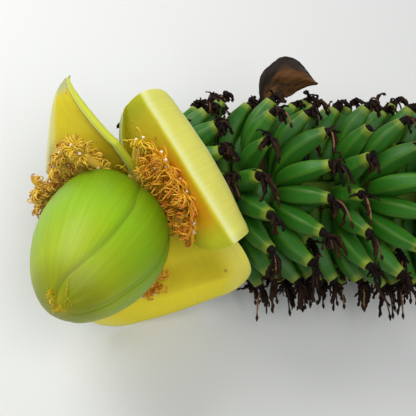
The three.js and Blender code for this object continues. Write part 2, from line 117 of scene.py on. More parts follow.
# Folds that run over the bud's tip, and the chain of places that its torn frills stand along, all
# as fractions along the bud and angles round it. The marks say how torn each looks.
TIP_FOLDS = (
    ((0.936, 0.981, 0.985), (-5, -25, -94)),
    ((0.981, 0.995, 0.997), (-25, -49, -130)),
)
FOLD_RADIUS, FOLD_MARK = 1.3, 0.99
TIP_FRILLS = ((0.976, 32), (0.983, 50), (0.99, 40), (0.998, 150), (0.999, -80), (0.997, -97))
FRILL_COUNT, FRILL_LENGTH, FRILL_MARK = 90, (2, 5.5), 1.1

# Bracts that wrap the bud. near is the edge that shows and far the hidden one, as places round the
# bud at fractions of its length, and layers is how many bracts deep the wrap lies.
WRAPS = (
    {
        "name": "bud_wrap_1",
        "layers": 1,
        "start": 0.03,
        "end": 0.985,
        "near_at": (0, 0.29, 0.47, 0.6, 0.755, 0.867, 0.93, 1),
        "near": (-21, -23, -26.5, -26, -22, -13, -2, 12),
        "far_at": (0, 0.7, 1),
        "far": (-150, -150, -120),
    },
    {
        "name": "bud_wrap_2",
        "layers": 2,
        "start": 0.03,
        "end": 0.985,
        "near_at": (0, 0.36, 0.49, 0.74, 0.83, 0.91, 0.97, 1),
        "near": (-74, -79, -85, -88, -94, -99.5, -114, -140),
        "far_at": (0, 0.5, 0.93, 1),
        "far": (-205, -222, -248, -262),
    },
)

# Opened bracts. turn is the place round the bud's axis, back the distance behind the bud's foot and
# lean the heading of the middle line at each fraction in at, from straight out towards the bud's
# tip. foot is the share of the full width there, widest where it is reached, and tip_power and
# tip_root shape the fall from there to the tip. The cups are the radii across the sheet at foot and
# tip, and a negative one rolls back. The left and the right margin each have, in roll, the radius
# and the angle of their roll inward, and in bead, the height of their thick edge. rolled says how
# much of the roll there is from foot to tip.
# The other values are for the paint. The hollow's middle lies at the first number, along and
# across, and its colour fades out from the last to the second distance from there. That colour is
# partly the bract's own and partly painted shade, and on the side bract it is also a painted orange
# reflection of its flowers. The end turns its tip_colour from cream_from on, over cream_fade, and
# pales with painted highlights from the band's second to its last distance from its middle. margin
# is the strength of the colour of the inner face's margins, and roll_colour is for those of the
# outer face. spot is the place of a brown speck, and light is painted light and shade: the
# brightness of the bract's whole inner face.
BRACTS = {
    "bract_upper": {
        "turn": 40, "skew": 2, "back": 7.5, "length": 147, "left": 48, "right": 47,
        "foot": 0.43, "widest": 0.45, "tip_power": (0.78, 0.78), "tip_root": 1.1,
        "foot_cup": 92, "tip_cup": 66,
        "at": (0, 0.15, 0.35, 0.55, 0.75, 1),
        "lean": (-7, 13, 17, -14, -27, -85),
        "roll": ((0, 0), (3.2, 190)), "rolled": (0.1, 1, 1, 0.3), "bead": (1.0, 0.3),
        "hollow_tint_and_shade": (0, 0.3, 0.16), "hollow_tint_and_shade_across": (0, 3, 2), "hollow_tint_and_shade_colour": "bract_olive",
        "cream_from": 0.82, "cream_fade": 0.09, "highlight_band": (0, 2, 3), "tip_colour": "bract_hood",
        "margin": 0.8, "margin_colour": "bract_pale", "roll_colour": "bract_lime",
        "spot": (0.84, -0.15), "light": 0.83,
    },
    "bract_side": {
        "turn": -39, "skew": -15, "back": 22, "length": 174, "left": 76, "right": 87,
        "foot": 0.26, "widest": 0.52, "tip_power": (2.6, 7), "tip_root": 1.5,
        "foot_cup": 150, "tip_cup": -260,
        "at": (0, 0.15, 0.35, 0.585, 0.615, 0.72, 0.85, 1),
        "lean": (-6, 28, 33, 28, -44, -78, -130, -165),
        "roll": ((4.5, 210), (0, 0)), "rolled": (0.1, 1, 0, 0), "bead": (0.2, 0.8),
        "hollow_tint_and_shade": (0.3, 0.305, 0.25), "hollow_tint_and_shade_across": (-0.9, 1.5, 0.6),
        "hollow_tint_and_shade_colour": "bract_shade_and_flower_reflection",
        "cream_from": 0.595, "cream_fade": 0.015, "highlight_band": (0.705, 0.045, 0.1),
        "tip_colour": "bract_cream",
        "margin": 0.85, "margin_colour": "bract_lime", "roll_colour": "bract_bloom",
        "spot": (0.5, 0.45), "light": 1.0,
    },
    "bract_lower": {
        "turn": -150, "skew": -21, "back": 17, "length": 178, "left": 95, "right": 86,
        "foot": 0.36, "widest": 0.5, "tip_power": (2, 2), "tip_root": 0.9,
        "foot_cup": 140, "tip_cup": -300,
        "at": (0, 0.15, 0.35, 0.48, 0.56, 0.72, 0.85, 1),
        "lean": (-8, 22, 26, 14, -12, -30, -85, -130),
        "roll": ((0, 0), (0, 0)), "rolled": (0, 0, 0, 0), "bead": (0.8, 0.8),
        "hollow_tint_and_shade": (0.485, 0.11, 0), "hollow_tint_and_shade_across": (0.42, 0.7, 0),
        "hollow_tint_and_shade_colour": "bract_olive",
        "cream_from": 0.96, "cream_fade": 0.015, "highlight_band": (0, 2, 3), "tip_colour": "bract_cream",
        "margin": 0.2, "margin_colour": "bract_pale", "roll_colour": "bract_pale",
        "spot": (0.52, 0.72), "light": 1.22,
    },
}
# How deep a bract's foot is sunk in the neck, how thick its margins are, and its least half width
BRACT_SUNK, MARGIN_THICKNESS, LEAST_HALF_WIDTH = 3, 0.7, 3
# How thick its tip is as a share of its foot, and where the bead of a margin lies across it
TIP_THICKNESS, BEAD_PLACE, BEAD_WIDTH = 0.55, 0.93, 0.06
BRACT_ROWS, BRACT_COLUMNS = 110, 84

# Rows of flowers, one in front of each opened bract, in two lines each. A row spreads over fan on
# both sides of turn, and its flowers lean from the first heading at the foot to the second at the
# mouth. outer says how much longer the line by the bract is, and how much more it leans at least.
# tilt leans a row's two ends apart, and slope makes one end longer. tube is the share of a flower
# that is its tube, lush scales the length of its threads, and fresh says how yellow they are at
# two places from -1 to 1 along the row. threads names their colours at the foot and at the end.
FLOWER_ROWS = {
    "flowers_upper": {
        "turn": 72, "fan": 47, "count": 17, "ahead": -5, "length": 94, "lean": (6, 29),
        "outer": (1, 0), "tilt": 6, "slope": 0.09, "tube": (0.5, 0.9), "lush": 1.08,
        "fresh": ((-1, -0.2), (0.6, 0)), "threads": ("thread_gold", "thread_brown"),
    },
    "flowers_side": {
        "turn": -39, "fan": 39, "count": 17, "ahead": -6, "length": 92, "lean": (10, 35),
        "outer": (1.12, -13), "tilt": -6, "slope": 0.13, "tube": (0.42, 0.85), "lush": 1.35,
        "fresh": ((0.45, 0.75), (0, 1)), "threads": ("thread_orange", "thread_rust"),
    },
    "flowers_lower": {
        "turn": -163, "fan": 22, "count": 14, "ahead": -6, "length": 98, "lean": (6, 38),
        "outer": (1, 0), "tilt": 0, "slope": 0, "tube": (0.45, 0.9), "lush": 1.1,
        "fresh": ((0, 1), (0, 0)), "threads": ("thread_orange", "thread_rust"),
    },
}
FLOWER_ROW_GAP = 6.5
# A flower leans further, step by step, until it is clear of its bract. A thread that isn't clear of
# every bract is left out. The first distance is how near a bract counts, and the second is the
# height over it that is clear.
LEAN_STEP, MOST_LEAN = 2, 24
TUBE_NEAR, TUBE_CLEAR = 25, 3
THREAD_NEAR, THREAD_CLEAR = 8, 0.6
TUBE_RADII = ((0, 0.3, 0.8, 1), (2.0, 2.6, 4.2, 3.9))
# The lobes and the threads at the mouth of each flower: how many, the reach and the splay from its
# middle, the lengths, the degrees that they curl, and their width and flatness
THREAD_KINDS = (
    {
        "each": 14, "reach": 3.4, "splay": 0.7, "length": (11, 18), "curl": (200, 420),
        "wide": 1.5, "flat": 0.6,
    },
    {
        "each": 12, "reach": 2.0, "splay": 0.5, "length": (12, 20), "curl": (90, 300),
        "wide": 1.05, "flat": 0.9,
    },
)
STIGMA_LENGTH = (5.5, 9.5)
STIGMA_RADII = ((0, 0.8, 0.88, 0.95, 1), (0.7, 0.6, 1.6, 1.7, 0.7))

# Hands of fruit, set in turn on the front and the back of the bunch, in two rows each. The leans
# are a fruit's headings at foot and tip for each row, in the middle of a hand and on its flanks.
HAND_COUNT = 7
HAND_FIRST, HAND_PITCH = -16, 52
HAND_FRONT, HAND_SWAP = 52, 176
FRUIT_STEP = 22
ROW_SIZES = (11, 10)
ROW_OFFSET = 11.5
MIDDLE_LEAN = ((-34, 8), (12, 44))
FLANK_LEAN = ((-8, 20), (0, 28))
FLANK = 66
CROWN_WIDTH, CROWN_DEPTH = 34, 8
FRUIT_LENGTH = 86
FRUIT_STEPS = 12
# Hands, and the sizes of their fruits as shares of a full one. The youngest are next to the bud.
YOUNG_SIZES = ((0, 2, HAND_COUNT - 1), (0.8, 0.97, 1))
# A fruit of the solids is found by the ring round its tip
SOLID_TIP_RADIUS, SOLID_TIP_ERROR = 7, 0.1

# What the fruits have beyond their solids: a deeper bow, and smaller fruits in the gaps. The inner
# ones stand at these places of a back hand's first row, and those between two hands at these of
# the second row. The shares are of a fruit's length and size.
FRUIT_BOW = 5
MISSING_SHARE = 0.72
INNER_FRUITS, INNER_SHARE = (0.5, 1.5, 2.5, 7.5, 8.5, 9.5), 0.8
BETWEEN_FRUITS, BETWEEN_LENGTH, BETWEEN_SHARE = (0, 1, 2, 7, 8, 9), 0.62, 0.75
# Radii along a fruit as shares of its radius, then distances past its end and radii of its collar
FRUIT_RADII = ((0, 0.1, 0.32, 0.55, 0.78, 0.93, 1), (0.5, 0.56, 0.88, 1.03, 0.93, 0.67, 0.54))
COLLAR_AHEAD = np.array([0.9, 1.2, 0.7, 0.5])
COLLAR_RADII = np.array([0.54, 0.49, 0.4, 0.34])

# Withered flowers. A bare one is only a short stump. In the crowded hands next to the bud many are
# bare, and each of the high fruits, which face up, has several small tufts instead.
HANG = np.array([0.0, -0.6, -0.8])
CROWDED_HANDS = (0, 1)
HIGH_FROM, HIGH_TUFTS, HIGH_SHARE = 0.45, 4, 0.6
BARE_CHANCE, CROWDED_BARE_CHANCE = 0.12, 0.65
BARE_STUMP = {"length": 3.5, "radii": (4.6, 5.2, 4.6, 2.6)}
FULL_STUMP = {"length": 6.5, "radii": (4.4, 4.6, 3.6, 2.4)}
# Its limp rags, long and short, and a pale straw with a knob. pull is how much they hang, and the
# widths of each shape are at fractions along it.
RAG = ((0, 0.2, 0.5, 0.8, 0.93, 1), (1, 0.75, 1.05, 0.6, 0.9, 0.25))
STRAW = ((0, 0.15, 0.8, 0.88, 0.96, 1), (1.6, 1, 0.9, 1.8, 1.9, 0.5))
WITHERED_KINDS = (
    {
        "each": 3, "length": (0.5, 1.35), "curl": (0, 50), "wide": 2.6, "flat": 0.7,
        "splay": 0.22, "pull": 2.8, "shape": RAG, "wobble": 0.2, "rough": 0.55,
    },
    {
        "each": 8, "length": (0.2, 0.85), "curl": (0, 200), "wide": 1.7, "flat": 0.5,
        "splay": 0.5, "pull": 2.1, "shape": RAG, "wobble": 0.2, "rough": 0.5,
    },
    {
        "each": 1, "length": (0.7, 1.5), "curl": (0, 30), "wide": 1.15, "flat": 0.9,
        "splay": 0.25, "pull": 3.4, "shape": STRAW, "wobble": 0.06, "rough": 0.1,
    },
)
# A rag or a straw that comes nearer than this to an opened bract is left out.
WITHERED_CLEAR = 5

# Dried bract: a strip out between two hands, and a bent flap at its end. The shares of the bend and
# the half widths are at fractions along it.
DRIED = {
    "place": 86, "round": 122, "length": 160, "thick": 1.0, "crumple": 7, "flap": 25,
    "bend": 112, "bend_at": (0, 0.49, 0.785, 1), "bend_shares": (0, 0, 0.72, 1),
    "width_at": (0, 0.5, 0.65, 0.77, 1), "widths": (4.5, 4.5, 15.5, 22, 2),
}

# Where the photograph was taken from, in the stalk's frame
CAMERA_PLACE = np.array([-237.8, -675.1, 477.6])
CAMERA_RIGHT = np.array([0.951, -0.247, 0.186])
CAMERA_BACK = np.array([-0.309, -0.760, 0.572])
CAMERA_LENS = 69.23

# Stage, in metres. Each light stands right of the middle, above it and towards the camera in these
# shares, and has a distance, a size and a power in watts.
FLOOR_REACH = 6
FLOOR_GAP = 0.0004
LIGHTS = (
    ("key_light", (-0.5, 0.9, 0.7), 1.6, 0.8, 17),
    ("fill_light", (0.3, 0.1, 1.0), 1.8, 1.2, 16),
    ("rim_light", (0.3, 1.0, -0.4), 1.6, 0.8, 5),
)
LIGHTS_MIDDLE = np.array([-0.1, 0, 0.1])
LOWEST_LIGHT = 0.25


class BananaSizes(bpy.types.PropertyGroup):
    """Sizes that can be changed without changing the solids"""

    fruit_radius: FloatProperty(
        name="Fruit radius", description="Half the width of a fruit at its belly",
        default=0.0124, unit="LENGTH",
    )
    fruit_ridge: FloatProperty(
        name="Fruit ridge", description="How angular a fruit is, from round to five flat sides",
        default=0.85,
    )
    bud_layer: FloatProperty(
        name="Bud layer", description="Height of a bract's edge on the bud",
        default=0.001, unit="LENGTH",
    )
    bract_thickness: FloatProperty(
        name="Bract thickness", description="Thickness of an opened bract at its foot",
        default=0.0032, unit="LENGTH",
    )
    thread_radius: FloatProperty(
        name="Thread radius", description="Half the width of a flower's thread",
        default=0.0008, unit="LENGTH",
    )
    withered_length: FloatProperty(
        name="Withered length", description="Length of the withered flower on a fruit",
        default=0.029, unit="LENGTH",
    )


def paint_property(name, description, colour):
    return FloatVectorProperty(
        name=name, description=description, default=colour, size=3, min=0, max=1, subtype="COLOR"
    )


class BananaColours(bpy.types.PropertyGroup):
    """Colours of each kind of surface"""

    bud_green: paint_property("Bud green", "The bud's own lime green", (0.25, 0.45, 0.004))
    bud_olive: paint_property("Bud olive", "The bud near its tip", (0.36, 0.41, 0.002))
    # Painted shade: the dark line along the edge where one of the bud's bracts lies on the next
    bud_seam_shade: paint_property(
        "Bud seam", "Where one of the bud's bracts ends on the next", (0.13, 0.26, 0.004)
    )
    bud_edge: paint_property(
        "Bud edge", "Torn tip and edges of the bud's bracts", (0.70, 0.47, 0.012)
    )
    bract_yellow: paint_property(
        "Bract yellow", "Inner face of an opened bract", (0.73, 0.61, 0.026)
    )
    # Partly a bract's own olive and partly painted shade in its hollow; also the dots of the
    # stalk's cut face
    bract_olive: paint_property("Bract olive", "Hollow of an opened bract", (0.46, 0.36, 0.010))
    bract_cream: paint_property(
        "Bract cream", "Rolled end and margins of an opened bract", (0.67, 0.655, 0.14)
    )
    bract_hood: paint_property(
        "Bract hood", "Tip of a bract that keeps its hood", (0.48, 0.52, 0.26)
    )
    # Painted shade and a painted orange reflection of the flowers, deep in the side bract
    bract_shade_and_flower_reflection: paint_property(
        "Bract glow", "Deep part of the side bract, by its flowers", (0.80, 0.34, 0.004)
    )
    bract_pale: paint_property(
        "Bract pale margin", "Thick pale margin of an opened bract", (0.78, 0.81, 0.42)
    )
    bract_lime: paint_property(
        "Bract lime margin", "Greener margin of the side bract", (0.52, 0.55, 0.02)
    )
    bract_bloom: paint_property(
        "Bract bloom", "Waxy outer face of an opened bract", (0.32, 0.44, 0.13)
    )
    tube_yellow: paint_property("Tube yellow", "Tube of a flower", (0.78, 0.58, 0.03))
    thread_gold: paint_property("Thread gold", "Threads of the upper flowers", (0.86, 0.55, 0.08))
    thread_brown: paint_property(
        "Thread brown", "Ends of the upper flowers' threads", (0.46, 0.20, 0.03)
    )
    thread_orange: paint_property(
        "Thread orange", "Threads of the side and lower flowers", (0.94, 0.46, 0.03)
    )
    thread_rust: paint_property(
        "Thread rust", "Ends of the side and lower flowers' threads", (0.55, 0.17, 0.014)
    )
    stigma_white: paint_property(
        "Stigma white", "Knob in the middle of a flower", (0.85, 0.74, 0.6)
    )
    fruit_green: paint_property("Fruit green", "Skin of a young fruit", (0.027, 0.150, 0.009))
    fruit_lime: paint_property("Fruit lime", "Collar at a fruit's end", (0.26, 0.33, 0.025))
    withered_black: paint_property(
        "Withered black", "Withered flower on a fruit", (0.010, 0.006, 0.005)
    )
    withered_brown: paint_property(
        "Withered brown", "Driest parts of a withered flower", (0.036, 0.015, 0.006)
    )
    withered_straw: paint_property(
        "Withered straw", "Pale straw in a withered flower", (0.26, 0.13, 0.06)
    )
    dried_brown: paint_property("Dried brown", "Dried bract", (0.11, 0.043, 0.006))
    stalk_green: paint_property("Stalk green", "Skin of the stalk", (0.12, 0.22, 0.02))
    stalk_cut: paint_property("Stalk cut", "Cut face of the stalk", (0.62, 0.58, 0.36))
    floor: paint_property("Floor", "Plain floor of the stage", (0.78, 0.78, 0.76))


# Curves and directions


def unit(vectors):
    return vectors / np.linalg.norm(vectors, axis=-1, keepdims=True)


def turned(start, end, degrees):
    """The direction that lies this many degrees from start towards end."""
    angle = np.radians(degrees)[..., None]
    return start * np.cos(angle) + end * np.sin(angle)


def smooth(x, places, values):
    """A smooth curve through the values at the given places, flat at its turning points."""
    places = np.asarray(places, float)
    values = np.asarray(values, float)
    slopes = np.diff(values) / np.diff(places)
    before, after = slopes[:-1], slopes[1:]
    same_way = before * after > 0
    inner = np.where(same_way, 2 * before * after / np.where(same_way, before + after, 1), 0)
    tangents = np.concatenate([slopes[:1], inner, slopes[-1:]])
    i = np.clip(np.searchsorted(places, x, side="right") - 1, 0, len(places) - 2)
    width = places[i + 1] - places[i]
    t = (x - places[i]) / width
    s = 1 - t
    ends = (1 + 2 * t) * s * s * values[i] + t * t * (3 - 2 * t) * values[i + 1]
    return ends + t * s * width * (s * tangents[i] - t * tangents[i + 1])


def chance(first, second):
    """A repeatable number from 0 to 1 for a pair of counts, as in the solids."""
    x = math.sin(first * 127.1 + second * 311.7) * 43758.5453
    return x - math.floor(x)


def lerp(start, end, t):
    return start + (end - start) * t


def ripple(x, y, seed):
    """A soft bumpy height from -1 to 1 over a surface, from a few crossing waves."""
    rng = np.random.default_rng(seed)
    waves, finer, weaker, peak = 6, 1.7, 0.7, 2.6
    height = 0
    for wave in range(waves):
        angle, shift = rng.uniform(0, 2 * math.pi, 2)
        size = finer**wave
        run = x * math.cos(angle) + y * math.sin(angle)
        height = height + np.sin(size * run + shift) / size**weaker
    return height / peak


def points_along(line, t):
    """Points at fractions t of a line of even steps."""
    places = np.linspace(0, 1, len(line))
    return np.stack([np.interp(t, places, line[:, k]) for k in range(3)], -1)


def walked(headings, length):
    """Points along a line that starts at 0 and takes one even step for each heading."""
    steps = np.cumsum(headings, axis=0) * length / len(headings)
    return np.concatenate([np.zeros((1, 3)), steps])


# The stalk's own frame


def hook_heading(s):
    return math.pi - BOW_SLOPE + np.clip(-s / HOOK_RADIUS, 0, HOOK_TURN)


def stalk_point(s):
    s = np.asarray(s, float)
    heading, start = hook_heading(s), hook_heading(0.0)
    straight = np.maximum(0, -s - HOOK_ARC)
    hook_x = HOOK_RADIUS * (np.sin(heading) - math.sin(start)) + straight * np.cos(heading)
    hook_y = -HOOK_RADIUS * (np.cos(heading) - math.cos(start)) + straight * np.sin(heading)
    span_y = -BOW * (1 - np.exp(-np.maximum(s, 0) / BOW_FADE))
    hooked = s < 0
    return np.stack([np.where(hooked, hook_x, s), np.where(hooked, hook_y, span_y), 0 * s], -1)


def stalk_direction(s):
    """Unit vector along the stalk, towards the cut."""
    s = np.asarray(s, float)
    heading = hook_heading(s)
    slope = -BOW / BOW_FADE * np.exp(-np.maximum(s, 0) / BOW_FADE)
    hooked = s < 0
    x = np.where(hooked, -np.cos(heading), 1)
    y = np.where(hooked, -np.sin(heading), slope)
    return unit(np.stack([x, y, 0 * s], -1))


def stalk_side(s):
    return np.cross(stalk_direction(s), UP)


def stalk_radius(s):
    s = np.asarray(s, float)
    neck = lerp(HOOK_START_RADIUS, NECK_RADIUS, s / BUD_PLACE)
    return np.where(s < 0, neck, lerp(HOOK_START_RADIUS, CUT_RADIUS, s / SPAN))


BUD_FOOT = stalk_point(BUD_PLACE)
BUD_AXIS = -stalk_direction(BUD_PLACE)
BUD_SIDE = np.cross(BUD_AXIS, UP)


def turn_matrix():
    roll = Matrix.Rotation(math.radians(LIE_ROLL), 3, "X")
    return np.array(roll @ Matrix.Rotation(math.radians(LIE_PITCH), 3, "Y"))


def mount_place(name):
    for mount in frame["record"]["mounts"]:
        if mount["name"] == name:
            return np.array(mount["pos_m"])
    raise RuntimeError(f"The record has no mount named {name}")


TURN = turn_matrix()
SHIFT = mount_place("stem_cut") - TURN @ stalk_point(SPAN) * MM


def to_floor(points):
    """Points in the stalk's frame, laid down on the floor, in metres."""
    return points @ TURN.T * MM + SHIFT


def from_floor(points):
    return (points - SHIFT) @ TURN / MM


# Surfaces


class Skin:
    """Rings of points, with the places that patterns follow, gathered into one mesh.

    place is a point's place on the surface laid out straight, in millimetres. mark holds its
    fraction along, and two numbers that the paint of its surface reads, such as its fraction
    across and a tone of the piece's own.
    """

    def __init__(self):
        self.points, self.places, self.marks, self.faces, self.finishes = [], [], [], [], []
        self.total = 0

    def put(self, points, places, marks):
        self.points.append(points.reshape(-1, 3))
        self.places.append(np.broadcast_to(places, points.shape).reshape(-1, 3))
        self.marks.append(np.broadcast_to(marks, points.shape).reshape(-1, 3))
        index = self.total + np.arange(points.size // 3).reshape(points.shape[:-1])
        self.total += points.size // 3
        return index

    def face(self, corners, finish):
        corners = corners.reshape(-1, corners.shape[-1])
        self.faces += corners.tolist()
        self.finishes += np.broadcast_to(finish, len(corners)).tolist()

    def add(self, points, places, marks, finish=0, ends="fan"):
        """Adds bodies of closed rings.

        finish is the number of a material, or one for each step round a ring. ends says how a body
        is closed: by a fan, by a strip where its rings are folded, or not at all.
        """
        points = points.reshape(-1, *points.shape[-3:])
        places = np.broadcast_to(places, points.shape)
        marks = np.broadcast_to(marks, points.shape)
        index = self.put(points, places, marks)
        ahead = np.roll(index, -1, axis=2)
        quads = np.stack([index[:, :-1], ahead[:, :-1], ahead[:, 1:], index[:, 1:]], -1)
        self.face(quads, np.broadcast_to(finish, quads.shape[:-1]).ravel())
        for row, flip in ((0, True), (-1, False)):
            if ends == "fan":
                self.fan(points[:, row], places[:, row], marks[:, row], index[:, row], finish, flip)
            elif ends == "strip":
                self.strip(index[:, row], finish, flip)

    def fan(self, points, places, marks, index, finish, flip):
        middle = self.put(points.mean(1), places.mean(1), marks.mean(1))
        ahead = np.roll(index, -1, axis=1)
        middle = np.broadcast_to(middle[:, None], index.shape)
        order = [middle, ahead, index] if flip else [middle, index, ahead]
        triangles = np.stack(order, -1)
        self.face(triangles, np.broadcast_to(finish, index.shape).ravel())

    def add_sheet(self, front, back, places, marks, finish=0):
        """Adds a sheet as one closed ring a row, out along its front and back along its back."""
        pairs = ((front, back), (places, places), (marks, marks))
        rings = [np.concatenate([one, other[:, ::-1]], axis=1) for one, other in pairs]
        self.add(*rings, finish, ends="strip")

    def strip(self, index, finish, flip):
        """Closes the end of a folded ring, whose second half runs back along the first."""
        half = index.shape[1] // 2
        near, far = index[:, :half], index[:, : half - 1 : -1]
        order = [near[:, :-1], far[:, :-1], far[:, 1:], near[:, 1:]]
        quads = np.stack(order[::-1] if flip else order, -1)
        self.face(quads, np.ravel(finish)[0])

    def make(self, name, materials):
        """Makes the mesh and its object, laid on the floor and riding on the body."""
        places = np.concatenate(self.places)
        marks = np.concatenate(self.marks)
        points = to_floor(np.concatenate(self.points))
        points[:, 2] = np.maximum(points[:, 2], FLOOR_GAP)
        mesh = bpy.data.meshes.new(name)
        mesh.from_pydata(points.tolist(), [], self.faces)
        for label, values in (("place", places), ("mark", marks)):
            layer = mesh.attributes.new(label, "FLOAT_VECTOR", "POINT")
            layer.data.foreach_set("vector", np.ascontiguousarray(values, np.float32).ravel())
        for material in materials:
            mesh.materials.append(material)
        mesh.polygons.foreach_set("material_index", self.finishes)
        worked = bmesh.new()
        worked.from_mesh(mesh)
        bmesh.ops.recalc_face_normals(worked, faces=worked.faces)
        worked.to_mesh(mesh)
        worked.free()
        mesh.shade_smooth()
        piece = bpy.data.objects.new(name, mesh)
        bpy.context.scene.collection.objects.link(piece)
        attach(piece, BODY)
        return piece


def swept(line, radii, across, profile):
    """Rings of a profile along a line. A profile is points round a circle of radius 1."""
    along = unit(np.gradient(line, axis=0))
    v = unit(np.cross(along, across))
    u = np.cross(v, along)
    spread = profile[..., :1] * u[:, None] + profile[..., 1:] * v[:, None]
    return line[:, None] + radii[:, None, None] * spread


def straightened(line, radii, profile):
    """Places of the same rings with the line laid out straight."""
    steps = np.linalg.norm(np.diff(line, axis=0), axis=1)
    along = np.concatenate([[0], np.cumsum(steps)])
    profile = np.broadcast_to(profile, (len(line), *profile.shape[-2:]))
    round_it = profile * radii[:, None, None]
    along = np.broadcast_to(along[:, None, None], (*profile.shape[:2], 1))
    return np.concatenate([along, round_it], -1)


def marked(points, along=0, across=0, own=0):
    """The three marks of each point."""
    marks = np.zeros(points.shape)
    marks[..., 0], marks[..., 1], marks[..., 2] = along, across, own
    return marks


def circle(sides):
    angle = np.arange(sides) * 2 * math.pi / sides
    return np.stack([np.cos(angle), np.sin(angle)], -1)


def bent_line(start, out, ahead, length, lean, steps=FRUIT_STEPS):
    """Points along a line that leaves the stalk and bends from one heading to another."""
    middles = (np.arange(steps) + 0.5) / steps
    headings = turned(out, ahead, lerp(lean[0], lean[1], middles))
    return start + walked(headings, length)


def strands(
    starts, headings, lengths, curls, pull, radii, rng,
    rows, sides=5, flat=1.0, wobble=0.12, late=0, toward=0,
):
    """Curling threads, all at once, with their marks.

    curls are the turns in degrees from foot to tip, which come later as late grows. toward is what
    the threads curl to, or 0 for any way, and pull draws them as they go. radii holds fractions
    along a thread and its radii there, and flat is its thickness over its width.
    """
    count = len(starts)
    headings = unit(headings)
    axis = unit(np.cross(headings, unit(rng.normal(size=(count, 3))) + toward))
    u = unit(np.cross(headings, axis))
    at, rings, step = starts.copy(), [], lengths[:, None] / (rows - 1)
    profile = circle(sides)
    tones = rng.uniform(size=count)
    for row in range(rows):
        v = np.cross(headings, u)
        radius = smooth(row / (rows - 1), *radii)
        spread = profile[:, :1] * u[:, None] + profile[:, 1:] * flat * v[:, None]
        rings.append(at[:, None] + radius * spread)
        turn = np.radians(curls)[:, None] / (rows - 1) * (late + 1) * ((row + 0.5) / rows) ** late
        drift = rng.normal(size=(count, 3)) * wobble
        headings = unit(headings + np.cross(axis, headings) * turn + pull / (rows - 1) + drift)
        u = unit(u - headings * (u * headings).sum(-1, keepdims=True))
        at = at + headings * step
    points = np.stack(rings, 1)
    along = np.linspace(0, 1, rows)[None, :, None]
    return points, marked(points, along, np.arange(sides) / sides, tones[:, None, None])


def normals_of(grid):
    along = np.gradient(grid, axis=0)
    across = np.gradient(grid, axis=1)
    return unit(np.cross(along, across))


# Materials


class Value:
    """An output of a shader node. A sum, a difference or a product with it adds a Math node."""

    def __init__(self, paint, socket):
        self.paint = paint
        self.socket = socket

    def math(self, operation, first, second):
        return self.paint.node("ShaderNodeMath", {"operation": operation}, {0: first, 1: second})

    def __add__(self, other):
        return self.math("ADD", self, other)

    __radd__ = __add__

    def __sub__(self, other):
        return self.math("SUBTRACT", self, other)

    def __rsub__(self, other):
        return self.math("SUBTRACT", other, self)

    def __mul__(self, other):
        return self.math("MULTIPLY", self, other)

    __rmul__ = __mul__


class Paint:
    """A material and its nodes."""

    def __init__(self, name):
        self.material = bpy.data.materials.new(name)
        self.material.use_nodes = True
        self.tree = self.material.node_tree
        self.shader = self.tree.nodes["Principled BSDF"]

    def node(self, kind, settings=None, inputs=None, output=0):
        """Adds a node, sets it, then fills or links its inputs, and gives one of its outputs."""
        made = self.tree.nodes.new(kind)
        for setting, value in (settings or {}).items():
            setattr(made, setting, value)
        self.fill(made, inputs or {})
        return Value(self, made.outputs[output])

    def fill(self, made, inputs):
        for socket, value in inputs.items():
            if isinstance(value, Value):
                self.tree.links.new(value.socket, made.inputs[socket])
            elif value is not None:
                made.inputs[socket].default_value = value

    def attribute(self, name):
        return self.node("ShaderNodeAttribute", {"attribute_name": name}, output="Vector")

    def place(self):
        return self.attribute("place")

    def marks(self):
        """The fraction along, and the two numbers that are this surface's own."""
        parts = self.node("ShaderNodeSeparateXYZ", inputs={0: self.attribute("mark")})
        return [Value(self, output) for output in parts.socket.node.outputs]

    def stretched(self, vector, scale):
        return self.node("ShaderNodeVectorMath", {"operation": "MULTIPLY"}, {0: vector, 1: scale})

    def noise(self, vector, scale=1.0, detail=3.0, roughness=0.5):
        inputs = {"Vector": vector, "Scale": scale, "Detail": detail, "Roughness": roughness}
        return self.node("ShaderNodeTexNoise", inputs=inputs)

    def step(self, value, start, end, low=0.0, high=1.0):
        """Goes smoothly from low to high as the value goes from start to end."""
        inputs = {"Value": value, "From Min": start, "From Max": end, "To Min": low, "To Max": high}
        return self.node("ShaderNodeMapRange", {"interpolation_type": "SMOOTHSTEP"}, inputs)

    def blend(self, factor, first, second, kind="MIX"):
        settings = {"data_type": "RGBA", "blend_type": kind}
        inputs = {0: factor, 6: self.colour(first), 7: self.colour(second)}
        return self.node("ShaderNodeMix", settings, inputs, output=2)

    @staticmethod
    def colour(value):
        return value if isinstance(value, Value) else (*value[:3], 1.0)

    def shade(self, colour, amount):
        """The colour made lighter or darker by a value about 1."""
        grey = self.node("ShaderNodeCombineXYZ", inputs={0: amount, 1: amount, 2: amount})
        return self.blend(1.0, colour, grey, "MULTIPLY")

    def bump(self, height, distance, strength=1.0):
        inputs = {"Height": height, "Distance": distance, "Strength": strength}
        return self.node("ShaderNodeBump", inputs=inputs, output="Normal")

    def finish(self, colour, roughness, normal=None, **constants):
        self.fill(self.shader, {"Base Color": colour, "Roughness": roughness, "Normal": normal})
        self.shader.inputs["Specular IOR Level"].default_value = 0.3
        for socket, value in constants.items():
            self.shader.inputs[socket.replace("_", " ")].default_value = value
        return self.material


